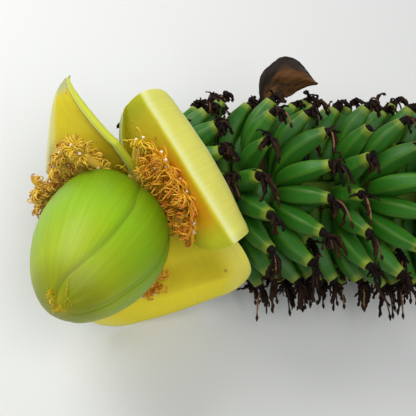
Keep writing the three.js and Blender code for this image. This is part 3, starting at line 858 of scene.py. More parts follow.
def bud_paint(colours):
    paint = Paint("bud_skin")
    along, edge, under = paint.marks()
    place = paint.place()
    streaks = paint.noise(paint.stretched(place, (0.012, 0.55, 0.55)), 1.0, 4.0, 0.6)
    clouds = paint.noise(paint.stretched(place, (0.02, 0.03, 0.03)), 1.0, 2.0)
    pores = paint.noise(paint.stretched(place, (0.5, 1.6, 1.6)), 1.0, 2.0)
    ripe = paint.step(along + (clouds - 0.5) * 0.35, 0.45, 1.0)
    colour = paint.blend(ripe, colours.bud_green, colours.bud_olive)
    torn = paint.step(along + (streaks - 0.5) * 0.12, 0.97, 1.03)
    # Painted shade: a dark line along the edge of each of the bud's bracts, where it lies on the
    # next
    rim = paint.step(edge, 0.0, 3.0, 0.5, 0.0)
    colour = paint.blend(rim, colour, colours.bud_seam_shade)
    # Painted shade: darker towards the foot, which the lamps light from above, and darker towards
    # the tip; then a painted shadow by the edge of the bract that lies over it
    ends = paint.step(along, 0.1, 0.6, 0.5, 1.0) * paint.step(along, 0.8, 0.95, 1.0, 0.7)
    shadow = paint.step(under, 0.0, 8.0, 0.72, 1.0)
    colour = paint.shade(colour, (0.76 + streaks * 0.48) * shadow * ends)
    colour = paint.blend(torn * 0.65, colour, colours.bud_edge)
    rough = 0.36 + pores * 0.14
    height = streaks * 0.7 + pores * 0.3
    normal = paint.bump(height, 0.0006, 0.55)
    return paint.finish(colour, rough, normal, Subsurface_Weight=0.12, Subsurface_Scale=0.006)


def bract_inner_paint(name, sizes, colours):
    """Inner face of an opened bract, with its hollow, margins, coloured end and brown speck.

    The hollow is partly the bract's own colour and partly painted shade, the end has painted
    highlights, and painted light and shade make the whole face brighter or darker.
    """
    inner = Paint(f"{name}_inner_face")
    along, across, _ = inner.marks()
    place = inner.place()
    ribs = inner.noise(inner.stretched(place, (0.75, 0.035, 0.0)), 1.0, 3.0, 0.55)
    veins = inner.noise(inner.stretched(place, (0.02, 0.5, 0.0)), 1.0, 3.0, 0.5)
    clouds = inner.noise(inner.stretched(place, (0.02, 0.025, 0.0)), 1.0, 3.0)
    # Painted shade in the hollow, partly the bract's own deeper colour: olive, or on the side bract
    # orange as a painted reflection of its flowers
    centre = 1 - inner.step(across * across, 0.25, 0.85)
    hollow_tint_and_shade = centre * inner.step(clouds, 0.3, 0.7, 0.6, 1.0)
    windows = ((along, sizes["hollow_tint_and_shade"]), (across, sizes["hollow_tint_and_shade_across"]))
    for value, (middle, outer_edge, inner_edge) in windows:
        away = value - middle
        hollow_tint_and_shade = hollow_tint_and_shade * inner.step(away * away, outer_edge**2, inner_edge**2)
    colour = inner.blend(hollow_tint_and_shade, colours.bract_yellow, getattr(colours, sizes["hollow_tint_and_shade_colour"]))
    start = sizes["cream_from"]
    cream = inner.step(along + (clouds - 0.5) * 0.02, start, start + sizes["cream_fade"])
    margin = inner.step(across * across, 0.4, 0.85)
    colour = inner.blend(margin * sizes["margin"], colour, getattr(colours, sizes["margin_colour"]))
    colour = inner.blend(cream * 0.85, colour, getattr(colours, sizes["tip_colour"]))
    # Painted highlights that pale the band of the rolled end towards its crease and its rolled edge
    middle, inner_edge, outer_edge = sizes["highlight_band"]
    away = along - middle
    edges = cream * inner.step(away * away, inner_edge**2, outer_edge**2, 0.0, 0.6)
    colour = inner.blend(edges, colour, colours.bract_pale)
    grain = inner.noise(inner.stretched(place, (1.1, 0.7, 0.0)), 1.0, 2.0)
    # Painted light and shade: light makes the whole inner face of each bract brighter or darker
    light = (0.81 + ribs * 0.08 + veins * 0.16 + grain * 0.14) * sizes["light"]
    colour = inner.shade(colour, light)
    spot_along, spot_across = sizes["spot"]
    ahead = (along - spot_along) * sizes["length"]
    aside = (across - spot_across) * sizes["left"]
    speck = inner.step(ahead * ahead + aside * aside, 7.0, 1.0)
    colour = inner.blend(speck * 0.7, colour, colours.thread_brown)
    normal = inner.bump(ribs * 0.2 + veins * 0.35 + grain * 0.3, 0.001, 0.7)
    matt = {"Subsurface_Weight": 0.15, "Subsurface_Scale": 0.004, "Specular_IOR_Level": 0.15}
    return inner.finish(colour, 0.46 + ribs * 0.15, normal, **matt)


def bract_outer_paint(name, sizes, colours):
    """Waxy outer face of an opened bract, with its rolled margins and pale rim."""
    outer = Paint(f"{name}_outer_face")
    _, across, _ = outer.marks()
    place = outer.place()
    veins = outer.noise(outer.stretched(place, (0.02, 0.5, 0.0)), 1.0, 4.0, 0.55)
    bloom = outer.noise(outer.stretched(place, (0.05, 0.06, 0.0)), 1.0, 4.0)
    waxed = outer.step(bloom, 0.35, 0.7)
    wax = outer.blend(waxed, colours.bract_bloom, colours.bract_cream)
    colour = outer.blend(0.35, wax, colours.bract_bloom)
    roll = outer.step(across * across, 0.4, 0.6, 0.0, 0.9)
    colour = outer.blend(roll, colour, getattr(colours, sizes["roll_colour"]))
    rim = outer.step(across * across, 0.90, 0.97, 0.0, 0.8)
    colour = outer.blend(rim, colour, colours.bract_pale)
    colour = outer.shade(colour, 0.85 + veins * 0.3)
    normal = outer.bump(veins, 0.0008, 0.6)
    return outer.finish(colour, 0.5 + bloom * 0.15, normal)


def tube_paint(colours):
    paint = Paint("flower_tube")
    along, _, tone = paint.marks()
    grain = paint.noise(paint.stretched(paint.place(), (0.05, 0.9, 0.9)), 1.0, 3.0)
    warm = paint.step(along + tone * 0.3, 0.5, 1.2)
    colour = paint.blend(warm, colours.tube_yellow, colours.thread_gold)
    colour = paint.shade(colour, 0.8 + grain * 0.5)
    normal = paint.bump(grain, 0.0005, 0.5)
    return paint.finish(colour, 0.5, normal, Subsurface_Weight=0.2, Subsurface_Scale=0.005)


def thread_paint(name, row, colours):
    paint = Paint(f"{name}_thread")
    along, fresh, tone = paint.marks()
    first, last = (getattr(colours, colour) for colour in row["threads"])
    colour = paint.blend(tone * 0.7, first, colours.tube_yellow)
    burnt = paint.step(along + (tone - 0.5) * 0.8, 0.45, 1.1)
    colour = paint.blend(burnt, colour, last)
    colour = paint.blend(fresh * 0.8, colour, colours.tube_yellow)
    colour = paint.shade(colour, 0.8 + tone * 0.4)
    return paint.finish(colour, 0.45, Subsurface_Weight=0.15, Subsurface_Scale=0.003)


def stigma_paint(colours):
    paint = Paint("flower_stigma")
    along, _, _ = paint.marks()
    colour = paint.blend(paint.step(along, 0.4, 0.8), colours.tube_yellow, colours.stigma_white)
    return paint.finish(colour, 0.35)


def fruit_paint(colours):
    paint = Paint("fruit_skin")
    along, ridge, tone = paint.marks()
    place = paint.place()
    streaks = paint.noise(paint.stretched(place, (0.03, 0.35, 0.35)), 1.0, 4.0, 0.6)
    clouds = paint.noise(paint.stretched(place, (0.05, 0.05, 0.05)), 1.0, 2.0)
    freckles = paint.noise(place, 1.3, 2.0)
    pale = paint.step(along + (streaks - 0.5) * 0.06, 0.91, 1.01)
    colour = paint.blend(pale * 0.8, colours.fruit_green, colours.fruit_lime)
    foot = paint.step(along, 0.22, 0.0, 0.0, 0.3)
    colour = paint.blend(foot, colour, colours.fruit_lime)
    # Painted highlight: lime along the fruit's sharp ridges
    colour = paint.blend(ridge * 0.13, colour, colours.fruit_lime)
    light = 0.42 + streaks * 0.4 + clouds * 0.35 + tone * 0.3
    colour = paint.shade(colour, light)
    normal = paint.bump(streaks * 0.7 + freckles * 0.3, 0.0005, 0.5)
    return paint.finish(colour, 0.38 + freckles * 0.15, normal, Subsurface_Weight=0.05)


def withered_paint(colours):
    paint = Paint("withered_flower")
    along, straw, tone = paint.marks()
    flakes = paint.noise(paint.place(), 0.9, 4.0, 0.7)
    dry = paint.step(along * 0.6 + tone * 0.5 + (flakes - 0.5) * 0.5, 0.45, 1.0)
    colour = paint.blend(dry, colours.withered_black, colours.withered_brown)
    shaft = straw * paint.step(along, 0.08, 0.3) * paint.step(along, 0.84, 0.76)
    pale = shaft * paint.step(tone, 0.35, 0.8, 0.15, 1.0)
    colour = paint.blend(pale, colour, colours.withered_straw)
    normal = paint.bump(flakes, 0.0006, 0.8)
    return paint.finish(colour, 0.6 + flakes * 0.25, normal, Specular_IOR_Level=0.1)


def stalk_paints(colours):
    skin = Paint("stalk_skin")
    place = skin.place()
    streaks = skin.noise(skin.stretched(place, (0.02, 0.4, 0.4)), 1.0, 5.0, 0.6)
    flecks = skin.noise(skin.stretched(place, (0.15, 0.3, 0.3)), 1.0, 3.0, 0.6)
    flecked = skin.step(flecks, 0.55, 0.75, 0.0, 0.6)
    colour = skin.blend(flecked, colours.stalk_green, colours.dried_brown)
    colour = skin.shade(colour, 0.65 + streaks * 0.7)
    normal = skin.bump(streaks, 0.0012, 0.8)
    skin_face = skin.finish(colour, 0.5 + flecks * 0.2, normal)

    cut = Paint("stalk_cut_face")
    _, outward, _ = cut.marks()
    place = cut.place()
    strings = cut.node("ShaderNodeTexVoronoi", inputs={"Vector": place, "Scale": 0.8})
    stain = cut.noise(place, 0.15, 4.0, 0.6)
    dots = cut.step(strings, 0.28, 0.1)
    colour = cut.blend(dots * 0.6, colours.stalk_cut, colours.bract_olive)
    rim = cut.step(outward + (stain - 0.5) * 0.3, 0.75, 1.0, 0.0, 0.75)
    colour = cut.blend(rim, colour, colours.dried_brown)
    normal = cut.bump(dots, 0.0004, 0.6)
    return [skin_face, cut.finish(colour, 0.7 - dots * 0.2, normal)]


def dried_paint(colours):
    paint = Paint("dried_bract_skin")
    _, across, _ = paint.marks()
    place = paint.place()
    veins = paint.noise(paint.stretched(place, (0.03, 0.5, 0.5)), 1.0, 5.0, 0.6)
    clouds = paint.noise(paint.stretched(place, (0.05, 0.08, 0.08)), 1.0, 3.0)
    dark = paint.step(clouds, 0.45, 0.68, 0.0, 0.8)
    colour = paint.blend(dark, colours.dried_brown, colours.withered_black)
    edge = paint.step(across * across, 0.7, 1.0, 0.0, 0.6)
    colour = paint.blend(edge, colour, colours.withered_brown)
    charred = paint.step(across + (clouds - 0.5) * 0.8, 0.2, 0.55, 0.0, 0.9)
    colour = paint.blend(charred, colour, colours.withered_black)
    colour = paint.shade(colour, 0.6 + veins * 0.8)
    return paint.finish(colour, 0.55 + veins * 0.3, paint.bump(veins, 0.0016, 0.9))


# Pieces


def stalk_skin():
    """The stalk with its lengthwise ribs, a scar before each hand, and the cut across its end."""
    skin = Skin()
    rows, columns = 200, 48
    s = np.linspace(BUD_PLACE + 0.5, SPAN, rows)
    angle = np.arange(columns) * 2 * math.pi / columns
    ribs = 0.35 * np.sin(9 * angle) + 0.25 * np.sin(17 * angle + 1)
    relief = ribs[None] + 0.4 * ripple(s[:, None] / 14, np.sin(angle)[None] * 3, 3)
    for hand in range(HAND_COUNT):
        scar = HAND_FIRST + HAND_PITCH * (hand - SCAR_BEFORE)
        relief = relief + SCAR_HEIGHT * np.exp(-(((s - scar) / SCAR_WIDTH) ** 2))[:, None]
    flush = smooth(s, (BUD_PLACE, BUD_PLACE + 25, SPAN - 6, SPAN), (0, 1, 1, 0))
    radius = stalk_radius(s)[:, None] - SKIN_DEPTH + relief * flush[:, None]
    side, line = stalk_side(s), stalk_point(s)
    spread = np.cos(angle)[None, :, None] * side[:, None] + np.sin(angle)[None, :, None] * UP
    points = line[:, None] + radius[..., None] * spread
    round_it = (radius * np.cos(angle), radius * np.sin(angle))
    places = np.stack([s[:, None] + 0 * radius, *round_it], -1)
    marks = marked(points, np.linspace(0, 1, rows)[:, None])
    skin.add(points, places, marks, 0, ends=None)
    first = np.arange(columns)[None]
    skin.fan(points[None, 0], places[None, 0], marks[None, 0], first, 0, True)
    shrink = np.array([1, 0.97, 0.8, 0.5, 0.2])[:, None, None]
    face = line[-1] + (points[-1] - line[-1]) * shrink
    face_marks = marked(face, across=shrink[..., 0])
    face_places = np.stack([0 * face[..., 0], *np.moveaxis(places[-1, :, 1:] * shrink, -1, 0)], -1)
    index = skin.put(face, face_places, face_marks)
    ahead = np.roll(index, -1, axis=1)
    skin.face(np.stack([index[:-1], ahead[:-1], ahead[1:], index[1:]], -1), 1)
    skin.fan(face[None, -1], face_places[None, -1], face_marks[None, -1], index[None, -1], 1, False)
    return skin


def bud_radius(t):
    full = np.sin(math.pi * np.clip(t, 0, 1) ** BUD_SKEW)
    return BUD_RADIUS * np.maximum(full, 0) ** BUD_FULL


def bud_point(t, degrees, off):
    angle = np.radians(degrees)[..., None]
    out = (bud_radius(t) + off)[..., None] * (UP * np.cos(angle) + BUD_SIDE * np.sin(angle))
    return BUD_FOOT + out + (t * BUD_LENGTH)[..., None] * BUD_AXIS


def bud_place(t, degrees):
    angle = np.radians(degrees)
    return np.stack([t * BUD_LENGTH, BUD_RADIUS * np.cos(angle), BUD_RADIUS * np.sin(angle)], -1)


def bud_swell(t, degrees):
    """Soft flats, and the faint wrinkles that run together at the tip."""
    angle = np.radians(degrees)
    soft = 0.5 * np.sin(3 * angle + 1) * np.sin(math.pi * t)
    wrinkle = 0.35 * np.sin(13 * angle + 4 * t) * smooth(t, (0, 0.9, 0.97, 1), (0, 0, 1, 0.2))
    form = 0.8 * np.sin(math.pi * t) ** 0.3
    for at, turn, height, long, wide in BUD_FORMS:
        round_it = (degrees - turn + 180) % 360 - 180
        form = form + height * np.exp(-(((t - at) / long) ** 2) - (round_it / wide) ** 2)
    return form * smooth(t, (0, 0.05, 0.97, 1), (0, 1, 1, 0)) + soft + wrinkle


def bud_edge_distance(wrap, t, degrees):
    """Distance round the bud from a wrap's near edge, on the side that the wrap leaves bare."""
    return np.radians(degrees - smooth(t, wrap["near_at"], wrap["near"])) * bud_radius(t)


def bud_dip(distance, t):
    """How far a bract of the bud sinks towards the edge of the bract that lies over it."""
    sunk = np.exp(-((np.maximum(distance, 0) / BUD_DIP_REACH) ** 2))
    return -BUD_DIP * sunk * smooth(t, (0, 0.1, 0.88, 1), (0, 1, 1, 0))


def bud_heart():
    """The body of the bud inside the bracts that wrap it."""
    skin = Skin()
    rows, columns = 110, 128
    t = (0.5 - 0.5 * np.cos(math.pi * (np.arange(rows) + 0.5) / rows))[:, None]
    degrees = (np.arange(columns) * 360 / columns)[None]
    t, degrees = np.broadcast_arrays(t, degrees)
    degrees = degrees + smooth(t, WRAPS[0]["near_at"], WRAPS[0]["near"])
    bare = bud_edge_distance(WRAPS[0], t, degrees)
    covered = degrees - degrees[:, :1] > 200
    bare = np.where(covered, FAR_FROM_EDGE, bare)
    points = bud_point(t, degrees, bud_swell(t, degrees) + bud_dip(bare, t))
    skin.add(points, bud_place(t, degrees), marked(points, t, FAR_FROM_EDGE, bare))
    return skin


def bud_wrap(wrap, layer):
    """One bract of the bud, which stands up from the one below along its rounded near edge."""
    skin = Skin()
    rows, columns = 100, 90
    eased = 0.5 - 0.5 * np.cos(np.linspace(0, math.pi, rows))
    t = lerp(wrap["start"], wrap["end"], eased)[:, None]
    near = smooth(t, wrap["near_at"], wrap["near"])
    far = smooth(t, wrap["far_at"], wrap["far"])
    share = (np.linspace(0, 1, columns) ** 1.6)[None]
    degrees = lerp(near, far, share)
    t = np.broadcast_to(t, degrees.shape)
    from_near = np.radians(near - degrees) * bud_radius(t)
    from_far = np.radians(degrees - far) * bud_radius(t)
    from_end = (wrap["end"] - t) * BUD_LENGTH
    edge = np.minimum(np.minimum(from_near, from_far), from_end * 1.5 + 0.3)
    covered = degrees > WRAPS[0]["far"][0] - 8
    below = np.where(covered, layer * (wrap["layers"] - 1), 0)
    below = below * smooth(t, (0, 0.9, 1), (1, 1, 0.3))
    lip = 1 - np.exp(-((edge / LIP_REACH) ** 2))
    rise = lerp(1 - np.exp(-edge / SLOPE_REACH), lip, LIP_SHARE)
    base = bud_swell(t, degrees) + below
    over = WRAPS[wrap["layers"]] if wrap["layers"] < len(WRAPS) else None
    bare = bud_edge_distance(over, t, degrees) if over else 0 * t + FAR_FROM_EDGE
    height = (layer + WRAP_EDGE) * rise - WRAP_EDGE + bud_dip(bare, t)
    front = bud_point(t, degrees, base + height)
    back = bud_point(t, degrees, base - WRAP_BACK)
    marks = marked(front, t, np.maximum(edge, 0), np.clip(bare, 0, FAR_FROM_EDGE))
    skin.add_sheet(front, back, bud_place(t, degrees), marks)
    return skin


def bud_tip(layer):
    """The folds and the torn frills at the tip."""
    skin = Skin()
    rng = np.random.default_rng(FRILL_SEED)
    share = np.linspace(0, 1, 24)
    profile = circle(8)
    for fold in TIP_FOLDS:
        t, degrees = (smooth(share, (0, 0.5, 1), values) for values in fold)
        line = bud_point(t, degrees, np.full(len(t), layer - 0.3))
        radii = FOLD_RADIUS * np.sin(math.pi * lerp(0.06, 0.94, share)) ** 0.5
        rings = swept(line, radii, BUD_AXIS, profile)
        marks = marked(rings, FOLD_MARK, FAR_FROM_EDGE, FAR_FROM_EDGE)
        skin.add(rings, bud_place(t, degrees)[:, None], marks)
    t, degrees = np.array(TIP_FRILLS).T
    corners = bud_point(t, degrees, np.full(len(t), layer - 0.6))
    starts = points_along(corners, rng.uniform(0, 1, FRILL_COUNT))
    starts = starts + rng.normal(size=starts.shape) * 0.5
    headings = unit(starts - BUD_FOOT - BUD_AXIS * BUD_LENGTH * 0.9) * 0.6
    headings = headings + rng.normal(size=starts.shape) * 0.8
    curls = rng.uniform(60, 220, FRILL_COUNT) * rng.choice([-1, 1], FRILL_COUNT)
    lengths = rng.uniform(*FRILL_LENGTH, FRILL_COUNT)
    radii = ((0, 0.5, 1), (1.3, 1.0, 0.4))
    rings, _ = strands(
        starts, headings, lengths, curls, np.zeros(3), radii, rng, rows=9, flat=0.35, late=1
    )
    skin.add(rings, rings, marked(rings, FRILL_MARK, FAR_FROM_EDGE, FAR_FROM_EDGE))
    return skin


def bract_half_width(sizes, u, v):
    """Share of the full width, at fractions u along a bract, on its left where v is above 0."""
    u, foot, widest = u[:, None], sizes["foot"], sizes["widest"]
    rising = foot + (1 - foot) * np.sin(np.minimum(u / widest, 1) * math.pi / 2)
    past = np.clip((u - widest) / (1 - widest), 0, 1)
    falling = 1 - past ** np.where(v > 0, *sizes["tip_power"])
    falling = np.maximum(falling, 0.001) ** (1 / sizes["tip_root"])
    return np.where(u < widest, rising, falling)


def bract_middle(sizes, u):
    """The middle line at fractions u, the direction across it, and those to its inner side."""
    out = turned(UP, BUD_SIDE, sizes["turn"])
    round_it = np.cross(BUD_AXIS, out)
    across = turned(round_it, BUD_AXIS, sizes["skew"])
    ahead = turned(BUD_AXIS, round_it, -sizes["skew"])
    start = BUD_FOOT - BUD_AXIS * sizes["back"] + out * (NECK_RADIUS - BRACT_SUNK)
    steps = 800
    fine = (np.arange(steps) + 0.5) / steps
    headings = turned(out, ahead, smooth(fine, sizes["at"], sizes["lean"]))
    middle = start + points_along(walked(headings, sizes["length"]), u)
    return middle, across, turned(ahead, out, -smooth(u, sizes["at"], sizes["lean"]))


def bract_grid(sizes, u, v):
    """Middle of the sheet, at fractions u along it and v across it."""
    middle, across, inner = bract_middle(sizes, u)
    bend = lerp(1 / sizes["foot_cup"], 1 / sizes["tip_cup"], u)[:, None]
    half = bract_half_width(sizes, u, v) * np.where(v > 0, sizes["left"], sizes["right"])
    half = np.maximum(half, LEAST_HALF_WIDTH)
    left, right = sizes["roll"]
    grown = smooth(u, (0, 0.2, 0.58, 1), sizes["rolled"])[:, None]
    radius = np.where(v > 0, left[0], right[0]) * grown
    roll = np.radians(np.where(v > 0, left[1], right[1])) * np.minimum(grown * 2, 1)
    reach = np.abs(v) * (half - radius + radius * roll)
    flat = np.minimum(reach, half - radius)
    angle = flat * bend
    rolled = (reach - flat) / np.maximum(radius, 0.01) + angle
    aside = np.sin(angle) / bend + radius * (np.sin(rolled) - np.sin(angle))
    inward = (1 - np.cos(angle)) / bend + radius * (np.cos(angle) - np.cos(rolled))
    aside = aside * np.sign(v)
    return middle[:, None] + aside[..., None] * across + inward[..., None] * inner[:, None]


def inner_normals(grid):
    """Normals of a bract's sheet, on the side of its flowers."""
    normals = normals_of(grid)
    rows, columns = grid.shape[:2]
    return normals * np.sign(normals[rows // 10, columns // 2] @ BUD_AXIS)


def bract_skin(sizes, thickness):
    """An opened bract with its thick margins, as one closed sheet with two faces."""
    skin = Skin()
    u = np.linspace(0, 1, BRACT_ROWS)
    v = np.sin(np.linspace(-1, 1, BRACT_COLUMNS) * math.pi / 2)[None]
    grid = bract_grid(sizes, u, v)
    normals = inner_normals(grid)
    u, v = np.broadcast_arrays(u[:, None], v)
    rim = np.maximum(np.abs(v) ** 8, smooth(u, (0, 0.93, 1), (0, 0, 1)))
    half = lerp(thickness * lerp(1, TIP_THICKNESS, u), MARGIN_THICKNESS, rim) / 2
    at_margin = np.exp(-(((np.abs(v) - BEAD_PLACE) / BEAD_WIDTH) ** 2))
    bead = np.where(v > 0, *sizes["bead"]) * at_margin * smooth(u, (0, 0.3, 1), (0, 1, 0.6))
    middle = grid + 0.6 * ripple(u * 9, v * 5, 5)[..., None] * normals
    front = middle + normals * (half + bead)[..., None]
    back = middle - normals * (half - bead * 0.6)[..., None]
    places = np.stack([u * sizes["length"], v * sizes["left"], 0 * u], -1)
    skin.add_sheet(front, back, places, marked(grid, u, v), np.repeat([0, 1], BRACT_COLUMNS))
    return skin


class Sheet:
    """An opened bract as points with directions, to find what stands in front of it."""

    def __init__(self, sizes):
        grid = bract_grid(sizes, np.linspace(0, 1, 60), np.linspace(-1, 1, 60)[None])
        self.normals = inner_normals(grid).reshape(-1, 3)
        points = grid.reshape(-1, 3)
        self.tree = KDTree(len(points))
        for i, point in enumerate(points):
            self.tree.insert(point, i)
        self.tree.balance()

    def away(self, point):
        return self.tree.find(point)[2]

    def in_front(self, line, near, height):
        """Whether each point of a line is this high over the bract's inner face, or not near it."""
        for point in line:
            at, i, away = self.tree.find(point)
            if away < near and (point - np.array(at)) @ self.normals[i] < height:
                return False
        return True


def flower_lines(row, seed, sheet):
    """Where the tube of each flower of a row starts and how it bends, to pass before its bract."""
    for side in range(2):
        ahead = row["ahead"] + (side - 0.5) * FLOWER_ROW_GAP
        longer, least = (1, 0) if side else row["outer"]
        for i in range(row["count"] - side):
            part = (i + side / 2) / (row["count"] - 1) * 2 - 1
            out = turned(UP, BUD_SIDE, row["turn"] + part * row["fan"])
            start = BUD_FOOT + BUD_AXIS * ahead + out * NECK_RADIUS
            vary = 0.94 + 0.1 * chance(i, side + seed) - row["slope"] * part
            for more in range(least, MOST_LEAN, LEAN_STEP):
                lean = [angle + row["tilt"] * part + more for angle in row["lean"]]
                line = bent_line(start, out, BUD_AXIS, row["length"] * longer * vary, lean, 20)
                if sheet.in_front(line[5:], TUBE_NEAR, TUBE_CLEAR):
                    yield part, line
                    break


def flower_skin(row, thread, seed, sheets, sheet):
    """A row of male flowers: tubes, curled lobes, threads and pale knobs."""
    skin = Skin()
    rng = np.random.default_rng(seed)
    mouths, headings, sides, fresh = [], [], [], []
    profile = circle(10)
    for part, line in flower_lines(row, seed, sheet):
        tube = line[: int(len(line) * rng.uniform(*row["tube"]))]
        t = np.linspace(0, 1, len(tube))
        across = unit(np.cross(line[-1] - line[0], BUD_AXIS))
        radii = smooth(t, *TUBE_RADII) * rng.uniform(0.9, 1.1)
        rings = swept(tube, radii, across, profile)
        marks = marked(rings, t[:, None], own=rng.uniform())
        skin.add(rings, straightened(tube, radii, profile), marks, 0)
        heading = unit(tube[-1] - tube[-2])
        mouths.append(tube[-1] - heading * 0.8)
        headings.append(heading)
        sides.append(across)
        fresh.append(np.interp(part, *row["fresh"]))
    mouths, headings, sides, fresh = map(np.array, (mouths, headings, sides, fresh))
    for kind in THREAD_KINDS:
        kind = {**kind, "length": [length * row["lush"] for length in kind["length"]]}
        add_threads(skin, mouths, headings, sides, fresh, kind, thread, rng, sheets)
    add_stigmas(skin, mouths, headings, rng, sheets)
    return skin


def in_front_of_all(points, sheets):
    """Whether each thread passes before all the bracts, apart from its foot."""
    lines = points.mean(2)[:, 2:]
    clear = (
        all(sheet.in_front(line, THREAD_NEAR, THREAD_CLEAR) for sheet in sheets) for line in lines
    )
    return np.fromiter(clear, bool, len(lines))


def add_threads(skin, mouths, headings, sides, fresh, kind, thread, rng, sheets):
    """One kind of lobe or thread round the mouth of each flower."""
    each = kind["each"]
    count = len(mouths) * each
    heading = np.repeat(headings, each, axis=0)
    side = np.repeat(sides, each, axis=0)
    angle = rng.uniform(0, 2 * math.pi, count)[:, None]
    outward = side * np.cos(angle) + np.cross(heading, side) * np.sin(angle)
    starts = np.repeat(mouths, each, axis=0) + outward * kind["reach"]
    lengths = rng.uniform(*kind["length"], count)
    curls = rng.uniform(*kind["curl"], count)
    width = thread * kind["wide"]
    radii = ((0, 0.4, 0.85, 1), (width * 1.1, width, width, width * 0.7))
    points, marks = strands(
        starts, heading + outward * kind["splay"], lengths, curls, np.zeros(3), radii, rng,
        rows=14, sides=4, flat=kind["flat"], wobble=0.07, late=1.4, toward=outward * 1.3,
    )
    marks[..., 1] = np.repeat(fresh, each)[:, None, None]
    keep = in_front_of_all(points, sheets)
    skin.add(points[keep], points[keep] * 0.3, marks[keep], 1)


def add_stigmas(skin, mouths, headings, rng, sheets):
    """The knob on a short stem in the middle of each flower."""
    count = len(mouths)
    lengths = rng.uniform(*STIGMA_LENGTH, count)
    curls = rng.uniform(5, 30, count)
    points, marks = strands(
        mouths, headings, lengths, curls, np.zeros(3), STIGMA_RADII, rng,
        rows=18, sides=8, wobble=0.02,
    )
    keep = in_front_of_all(points, sheets)
    skin.add(points[keep], points[keep] * 0.3, marks[keep], 2)


def fruit_line(hand, row, index):
    """The line of one fruit, bowed more than in the solids, the direction across it and its size.

    The size is a share of a full fruit's.
    """
    aside = (index - (ROW_SIZES[row] - 1) / 2) * FRUIT_STEP
    flank = min(abs(aside) / FLANK, 1)
    vary = chance(hand * 3 + row, index)
    foot, tip = (lerp(m, f, flank) for m, f in zip(MIDDLE_LEAN[row], FLANK_LEAN[row]))
    young = float(smooth(np.float64(hand), *YOUNG_SIZES))
    s = HAND_FIRST + HAND_PITCH * hand + (2 * row - 1) * ROW_OFFSET
    along = stalk_direction(s)
    out = turned(stalk_side(s), UP, HAND_FRONT + HAND_SWAP * hand + aside)
    start = stalk_point(s) + out * (stalk_radius(s) + 1)
    length = FRUIT_LENGTH * young * (0.94 + 0.1 * vary)
    line = bent_line(start, out, along, length, (foot, tip + 6 * (vary - 0.5)))
    across = np.cross(along, out)
    bow = unit(np.cross(across, line[-1] - line[0]))
    bow = bow * -np.sign(bow @ along) * FRUIT_BOW * young
    swell = np.sin(np.linspace(0, math.pi, len(line)))[:, None]
    return line + swell * bow, across, young


def solid_points(node):
    mesh = frame["nodes"][node].data
    points = np.zeros(len(mesh.vertices) * 3, np.float32)
    mesh.vertices.foreach_get("co", points)
    return np.unique(from_floor(points.reshape(-1, 3).astype(float)).round(2), axis=0)


def fruits_of_solids():
    """The fruits that the solids of the hands hold, and a smaller one where they had no room."""
    for hand in range(HAND_COUNT):
        solid = solid_points(f"hand_{hand + 1}")
        for row, size in enumerate(ROW_SIZES):
            for index in range(size):
                line, across, young = fruit_line(hand, row, index)
                radius = SOLID_TIP_RADIUS * lerp(0.9, 1, young)
                away = np.linalg.norm(solid - line[-1], axis=1)
                if np.count_nonzero(np.abs(away - radius) < SOLID_TIP_ERROR) >= 2:
                    yield hand, line, across, young
                elif hand > 0:
                    yield hand, shorter(line, MISSING_SHARE), across, young * MISSING_SHARE


def inner_fruits():
    """Smaller fruits in the gaps of the back hands, and between one hand and the next."""
    for hand in range(1, HAND_COUNT, 2):
        for index in INNER_FRUITS:
            line, across, young = fruit_line(hand, 0, index)
            yield hand, shorter(line, INNER_SHARE), across, young * INNER_SHARE
    for hand in range(1, HAND_COUNT - 1):
        for index in BETWEEN_FRUITS:
            line, across, young = fruit_line(hand, 1, index)
            line = line + stalk_direction(HAND_PITCH * hand) * (HAND_PITCH / 2 - ROW_OFFSET)
            yield hand, shorter(line, BETWEEN_LENGTH), across, young * BETWEEN_SHARE


def shorter(line, share):
    return line[0] + (line - line[0]) * share


def angular_profile(sides, ridge):
    """A five sided ring with soft corners, and how sharp each point of it is.

    ridge is its angularity for each row.
    """
    angle = np.arange(sides) * 2 * math.pi / sides
    fifth = 2 * math.pi / 5
    flat = math.cos(fifth / 2)
    corner = flat / np.cos(angle % fifth - fifth / 2)
    radius = lerp(1, corner, ridge[:, None])
    turn = angle + math.pi / 2
    ring = np.stack([np.cos(turn), np.sin(turn)], -1)
    sharp = smooth((corner - flat) / (1 - flat), (0, 0.7, 1), (0, 0.05, 1))
    return radius[..., None] * ring, sharp


def fruit_skin(fruits, hands, sizes):
    """The fruits of some hands, each with its collar, and the crowns that they stand on."""
    skin = Skin()
    rng = np.random.default_rng(FRUIT_SEED)
    sides, rows, collar_rows = 20, 22, len(COLLAR_RADII)
    t = np.linspace(0, 1, rows)
    shape = np.concatenate([smooth(t, *FRUIT_RADII), COLLAR_RADII])
    ridge = smooth(t, (0, 0.25, 0.9, 1), (0.2, 1, 1, 0.4))
    ridge = np.concatenate([ridge, np.full(collar_rows, 0.2)])
    profile, sharp = angular_profile(sides, ridge * sizes.fruit_ridge)
    share = np.concatenate([t, np.ones(collar_rows)])[:, None]
    for _, line, across, young in fruits:
        heading = unit(line[-1] - line[-2])
        collar = line[-1] + heading * COLLAR_AHEAD[:, None]
        fine = np.concatenate([points_along(line, t), collar])
        radii = shape * (sizes.fruit_radius / MM * lerp(0.9, 1, young) * rng.uniform(0.94, 1.06))
        along = unit(np.gradient(fine[:rows], axis=0))
        along = np.concatenate([along, np.repeat(heading[None], collar_rows, axis=0)])
        v = unit(np.cross(along, across))
        u = np.cross(v, along)
        spread = profile[..., :1] * u[:, None] + profile[..., 1:] * v[:, None]
        points = fine[:, None] + radii[:, None, None] * spread
        tone = rng.uniform()
        places = straightened(fine, radii, profile) + tone * 300
        skin.add(points, places, marked(points, share, sharp, tone))
    for hand in hands:
        add_crown(skin, hand)
    return skin


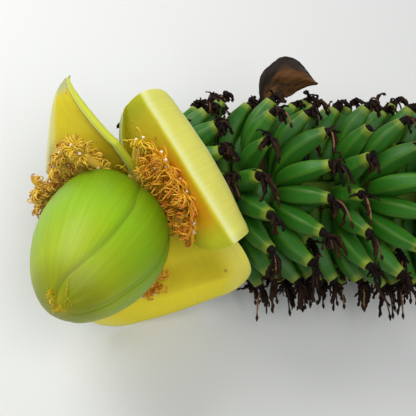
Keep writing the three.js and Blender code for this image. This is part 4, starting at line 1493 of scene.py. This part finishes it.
def add_crown(skin, hand):
    """The cushion on the stalk that the fruits of one hand stand on."""
    s = HAND_FIRST + HAND_PITCH * hand
    along, side, radius = stalk_direction(s), stalk_side(s), float(stalk_radius(s))
    reach = FRUIT_STEP * ROW_SIZES[0] / 2
    rows = 60
    part = np.linspace(-1, 1, rows)
    out = turned(side, UP, HAND_FRONT + HAND_SWAP * hand + part * reach)
    taper = np.sqrt(np.maximum(1 - part**6, 0.02))[:, None]
    x = np.linspace(-1, 1, 22)
    dome = np.maximum(1 - x**4, 0) ** 0.5
    height = radius * 0.82 + (radius * 0.18 + CROWN_DEPTH * taper) * dome
    width = CROWN_WIDTH / 2 * lerp(0.75, 1, taper) * x
    under_width = CROWN_WIDTH / 2 * np.array([0.8, 0.3, -0.3, -0.8])
    under_width = np.broadcast_to(under_width, (rows, len(under_width)))
    height = np.concatenate([height, np.full(under_width.shape, radius * 0.7)], 1)
    width = np.concatenate([width, under_width], 1)
    points = stalk_point(s) + height[..., None] * out[:, None] + width[..., None] * along
    # Crowns are marked a fifth along, past the lime foot, and take the darkest tone: painted shade
    # that keeps their smooth tops, which reflect the lamps, dark
    skin.add(points, points, marked(points, 0.2))


def withered_stumps(skin, fruits, rng):
    """Adds the stump on each fruit, and gives the foot, heading and share of each tuft of rags."""
    tufts = []
    rows, sides = 6, 10
    t = np.linspace(0, 1, rows)
    profile = circle(sides)
    for hand, line, across, young in fruits:
        heading = unit(line[-1] - line[-2])
        crowded = hand in CROWDED_HANDS
        high = unit(line[-1] - line[0]) @ UP > HIGH_FROM
        bare = rng.uniform() < (CROWDED_BARE_CHANCE if crowded and not high else BARE_CHANCE)
        kind = BARE_STUMP if bare else FULL_STUMP
        stump = line[-1] + heading * (0.2 + kind["length"] * t)[:, None]
        radii = smooth(t, (0, 0.3, 0.8, 1), kind["radii"]) * young
        tone = rng.uniform(0, 0.5)
        lumps = 1 + 0.12 * rng.normal(size=(rows, sides, 1))
        rings = swept(stump, radii, across, profile * lumps)
        skin.add(rings, stump[:, None], marked(rings, t[:, None] * 0.2, own=tone))
        several = crowded and high
        for _ in range(0 if bare else HIGH_TUFTS if several else 1):
            foot = stump[-2] + rng.normal(size=3) * (3.5 if crowded else 1)
            tufts.append((foot, heading, HIGH_SHARE if several else 1))
    return map(np.array, zip(*tufts))


def withered_skin(fruits, sizes, sheets):
    """The withered flower on the end of each fruit: a stump, limp rags and a pale straw."""
    skin = Skin()
    rng = np.random.default_rng(WITHERED_SEED)
    feet, headings, shares = withered_stumps(skin, fruits, rng)
    full = sizes.withered_length / MM
    for kind in WITHERED_KINDS:
        count = len(feet) * kind["each"]
        starts, heading, share = (
            np.repeat(values, kind["each"], axis=0) for values in (feet, headings, shares)
        )
        splay = rng.normal(size=(count, 3)) * kind["splay"]
        upward = np.maximum(-(heading @ unit(HANG)), 0)
        lengths = full * rng.uniform(*kind["length"], count) * lerp(1, 0.6, upward) * share
        curls = rng.uniform(*kind["curl"], count) * rng.choice([-1, 1], count)
        places, widths = kind["shape"]
        radii = (places, np.array(widths) * kind["wide"])
        points, marks = strands(
            starts, heading * 0.8 + splay, lengths, curls, HANG * kind["pull"], radii, rng,
            rows=11, flat=kind["flat"], wobble=kind["wobble"],
        )
        points = points + rng.normal(size=points.shape) * kind["rough"]
        marks[..., 1] = kind["shape"] is STRAW
        clear = (
            all(sheet.away(at) > WITHERED_CLEAR for sheet in sheets for at in line)
            for line in points.mean(2)
        )
        keep = np.fromiter(clear, bool, count)
        skin.add(points[keep], points[keep], marks[keep])
    return skin


def dried_skin():
    """The dried bract: a limp strip, and a crumpled flap that bends over at its end."""
    skin = Skin()
    rows, columns = 90, 26
    side, length, flap = stalk_side(DRIED["place"]), DRIED["length"], DRIED["flap"]
    along = stalk_direction(DRIED["place"])
    out = turned(side, UP, DRIED["round"])
    face = np.cross(along, out)
    u = np.linspace(0, 1, rows)
    past = smooth(u, DRIED["bend_at"], DRIED["bend_shares"])
    heading = turned(out, along, DRIED["bend"] * past)
    start = stalk_point(DRIED["place"]) + out * (stalk_radius(DRIED["place"]) - 2)
    middle = start + walked(heading[:-1], length)
    width = smooth(u, DRIED["width_at"], DRIED["widths"])
    across = np.cross(face, heading)
    v = np.linspace(-1, 1, columns)[None]
    wave = DRIED["crumple"] * np.sin(9 * u[:, None] + 2.4 * v) * past[:, None]
    wave = wave + 2.2 * ripple(u[:, None] * 22, v * 4, 9) * (0.3 + past[:, None])
    ragged = 1 + 0.08 * ripple(u * 30, 0 * u, 4)[:, None]
    aside = (v * width[:, None] * ragged)[..., None] * across[:, None]
    grid = middle[:, None] + aside + wave[..., None] * face
    half = normals_of(grid) * DRIED["thick"] / 2
    u, v = np.broadcast_arrays(u[:, None], v)
    places = np.stack([u * length, v * flap, wave], -1)
    skin.add_sheet(grid + half, grid - half, places, marked(grid, u, v))
    return skin


# Operators


class BananaOperator:
    """What the operators share"""

    bl_options = {"REGISTER", "UNDO"}

    @staticmethod
    def settings(context):
        return context.scene.banana_sizes, context.scene.banana_colours

    @staticmethod
    def dress(piece, slot, *nodes):
        if nodes:
            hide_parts(*nodes)


class BANANA_OT_stalk(BananaOperator, bpy.types.Operator):
    """Make the stalk with its ribs, scars and cut face"""

    bl_idname = "banana.stalk"
    bl_label = "Stalk"

    def execute(self, context):
        _, colours = self.settings(context)
        self.dress(stalk_skin().make("stalk_skin", stalk_paints(colours)), "stalk", "stalk")
        return {"FINISHED"}


class BANANA_OT_bud(BananaOperator, bpy.types.Operator):
    """Make the bud and the bracts that wrap it"""

    bl_idname = "banana.bud"
    bl_label = "Bud"

    def execute(self, context):
        sizes, colours = self.settings(context)
        paint = bud_paint(colours)
        self.dress(bud_heart().make("bud_heart_skin", [paint]), "bud", "bud_heart")
        for wrap in WRAPS:
            skin = bud_wrap(wrap, sizes.bud_layer / MM)
            self.dress(skin.make(f"{wrap['name']}_skin", [paint]), "bud", wrap["name"])
        self.dress(bud_tip(sizes.bud_layer / MM).make("bud_tip_folds", [paint]), "bud")
        return {"FINISHED"}


class BANANA_OT_bracts(BananaOperator, bpy.types.Operator):
    """Make the opened bracts"""

    bl_idname = "banana.bracts"
    bl_label = "Opened Bracts"

    def execute(self, context):
        sizes, colours = self.settings(context)
        for name, bract in BRACTS.items():
            paints = [
                bract_inner_paint(name, bract, colours),
                bract_outer_paint(name, bract, colours),
            ]
            skin = bract_skin(bract, sizes.bract_thickness / MM)
            self.dress(skin.make(f"{name}_skin", paints), "bract", name)
        return {"FINISHED"}


class BANANA_OT_flowers(BananaOperator, bpy.types.Operator):
    """Make the rows of male flowers"""

    bl_idname = "banana.flowers"
    bl_label = "Flowers"

    def execute(self, context):
        sizes, colours = self.settings(context)
        tube, stigma = tube_paint(colours), stigma_paint(colours)
        sheets = [Sheet(bract) for bract in BRACTS.values()]
        for i, (name, row) in enumerate(FLOWER_ROWS.items()):
            paints = [tube, thread_paint(name, row, colours), stigma]
            seed = FLOWER_SEED + i
            skin = flower_skin(row, sizes.thread_radius / MM, seed, sheets, sheets[i])
            self.dress(skin.make(f"{name}_threads", paints), "flowers", name)
        return {"FINISHED"}


class BANANA_OT_fruits(BananaOperator, bpy.types.Operator):
    """Make the hands of young fruit and the withered flower on each fruit"""

    bl_idname = "banana.fruits"
    bl_label = "Fruits"

    def execute(self, context):
        sizes, colours = self.settings(context)
        fruits = list(fruits_of_solids())
        if not fruits:
            raise RuntimeError("No fruit of the solids was found")
        fruits += inner_fruits()
        sheets = [Sheet(bract) for bract in BRACTS.values()]
        fruit_finish, withered_finish = [fruit_paint(colours)], [withered_paint(colours)]
        for side, name in enumerate(("front", "back")):
            hands = range(side, HAND_COUNT, 2)
            nodes = [f"hand_{hand + 1}" for hand in hands]
            mine = [fruit for fruit in fruits if fruit[0] in hands]
            skin = fruit_skin(mine, hands, sizes)
            self.dress(skin.make(f"fruits_{name}", fruit_finish), "fruit", *nodes)
            withered = withered_skin(mine, sizes, sheets)
            self.dress(withered.make(f"withered_flowers_{name}", withered_finish), "dried")
        return {"FINISHED"}


class BANANA_OT_dried_bract(BananaOperator, bpy.types.Operator):
    """Make the dried bract"""

    bl_idname = "banana.dried_bract"
    bl_label = "Dried Bract"

    def execute(self, context):
        _, colours = self.settings(context)
        paints = [dried_paint(colours)]
        self.dress(dried_skin().make("dried_bract_skin", paints), "dried", "dried_bract")
        return {"FINISHED"}


def aim(thing, place, back, right=None):
    """Places an object that looks along the opposite of back."""
    back = unit(np.asarray(back, float))
    right = unit(np.cross(UP, back)) if right is None else unit(right - back * (right @ back))
    upward = np.cross(back, right)
    matrix = np.eye(4)
    matrix[:3, :3] = np.stack([right, upward, back], 1)
    matrix[:3, 3] = place
    thing.matrix_world = Matrix(matrix.tolist())


class BANANA_OT_stage(BananaOperator, bpy.types.Operator):
    """Make the floor, the soft lights and the camera"""

    bl_idname = "banana.stage"
    bl_label = "Stage"

    def execute(self, context):
        _, colours = self.settings(context)
        scene = context.scene
        self.floor(scene, colours)
        self.camera(scene)
        self.lights(scene)
        scene.view_settings.view_transform = "Standard"
        return {"FINISHED"}

    @staticmethod
    def floor(scene, colours):
        mesh = bpy.data.meshes.new("floor")
        square = ((-1, -1), (1, -1), (1, 1), (-1, 1))
        corners = [(x * FLOOR_REACH, y * FLOOR_REACH, 0) for x, y in square]
        mesh.from_pydata(corners, [], [(0, 1, 2, 3)])
        paint = Paint("floor")
        mesh.materials.append(paint.finish((*colours.floor, 1), 0.9))
        floor = bpy.data.objects.new("floor", mesh)
        scene.collection.objects.link(floor)
        floor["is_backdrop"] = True

    @staticmethod
    def camera(scene):
        data = bpy.data.cameras.new("camera")
        data.sensor_width = 36
        data.lens = CAMERA_LENS
        camera = bpy.data.objects.new("camera", data)
        scene.collection.objects.link(camera)
        aim(camera, to_floor(CAMERA_PLACE), TURN @ CAMERA_BACK, TURN @ CAMERA_RIGHT)
        scene.camera = camera

    @staticmethod
    def lights(scene):
        right, back = TURN @ CAMERA_RIGHT, TURN @ CAMERA_BACK
        upward = np.cross(back, right)
        for name, mix, distance, size, power in LIGHTS:
            data = bpy.data.lights.new(name, "AREA")
            data.energy = power
            data.size = size
            light = bpy.data.objects.new(name, data)
            scene.collection.objects.link(light)
            direction = unit(right * mix[0] + upward * mix[1] + back * mix[2])
            direction[2] = max(direction[2], LOWEST_LIGHT)
            aim(light, direction * distance + LIGHTS_MIDDLE, direction)
        world = bpy.data.worlds.new("studio")
        world.use_nodes = True
        background = world.node_tree.nodes["Background"]
        background.inputs["Color"].default_value = (0.92, 0.96, 1.0, 1)
        background.inputs["Strength"].default_value = 0.3
        scene.world = world


class BANANA_PT_panel(bpy.types.Panel):
    """The pieces of the banana flower stalk"""

    bl_idname = "BANANA_PT_panel"
    bl_label = "Banana Flower Stalk"
    bl_space_type = "VIEW_3D"
    bl_region_type = "UI"
    bl_category = "Banana"

    def draw(self, context):
        layout = self.layout
        for group in (context.scene.banana_sizes, context.scene.banana_colours):
            box = layout.box()
            for name in group.__annotations__:
                box.prop(group, name)
        for operator in OPERATORS:
            layout.operator(operator.bl_idname)


OPERATORS = (
    BANANA_OT_stalk,
    BANANA_OT_bud,
    BANANA_OT_bracts,
    BANANA_OT_flowers,
    BANANA_OT_fruits,
    BANANA_OT_dried_bract,
    BANANA_OT_stage,
)
CLASSES = (BananaSizes, BananaColours, *OPERATORS, BANANA_PT_panel)


def register():
    for made in CLASSES:
        bpy.utils.register_class(made)
    bpy.types.Scene.banana_sizes = PointerProperty(type=BananaSizes)
    bpy.types.Scene.banana_colours = PointerProperty(type=BananaColours)


def unregister():
    del bpy.types.Scene.banana_colours
    del bpy.types.Scene.banana_sizes
    for made in reversed(CLASSES):
        bpy.utils.unregister_class(made)


def write_sizes():
    boxes = {"cad": CAD_BOX, "visual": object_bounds()}
    plain = {name: [list(corner) for corner in box] for name, box in boxes.items()}


def main():
    register()
    bpy.ops.banana.stalk()
    bpy.ops.banana.bud()
    bpy.ops.banana.bracts()
    bpy.ops.banana.flowers()
    bpy.ops.banana.fruits()
    bpy.ops.banana.dried_bract()
    bpy.ops.banana.stage()
    write_sizes()


if __name__ == "__main__":
    main()
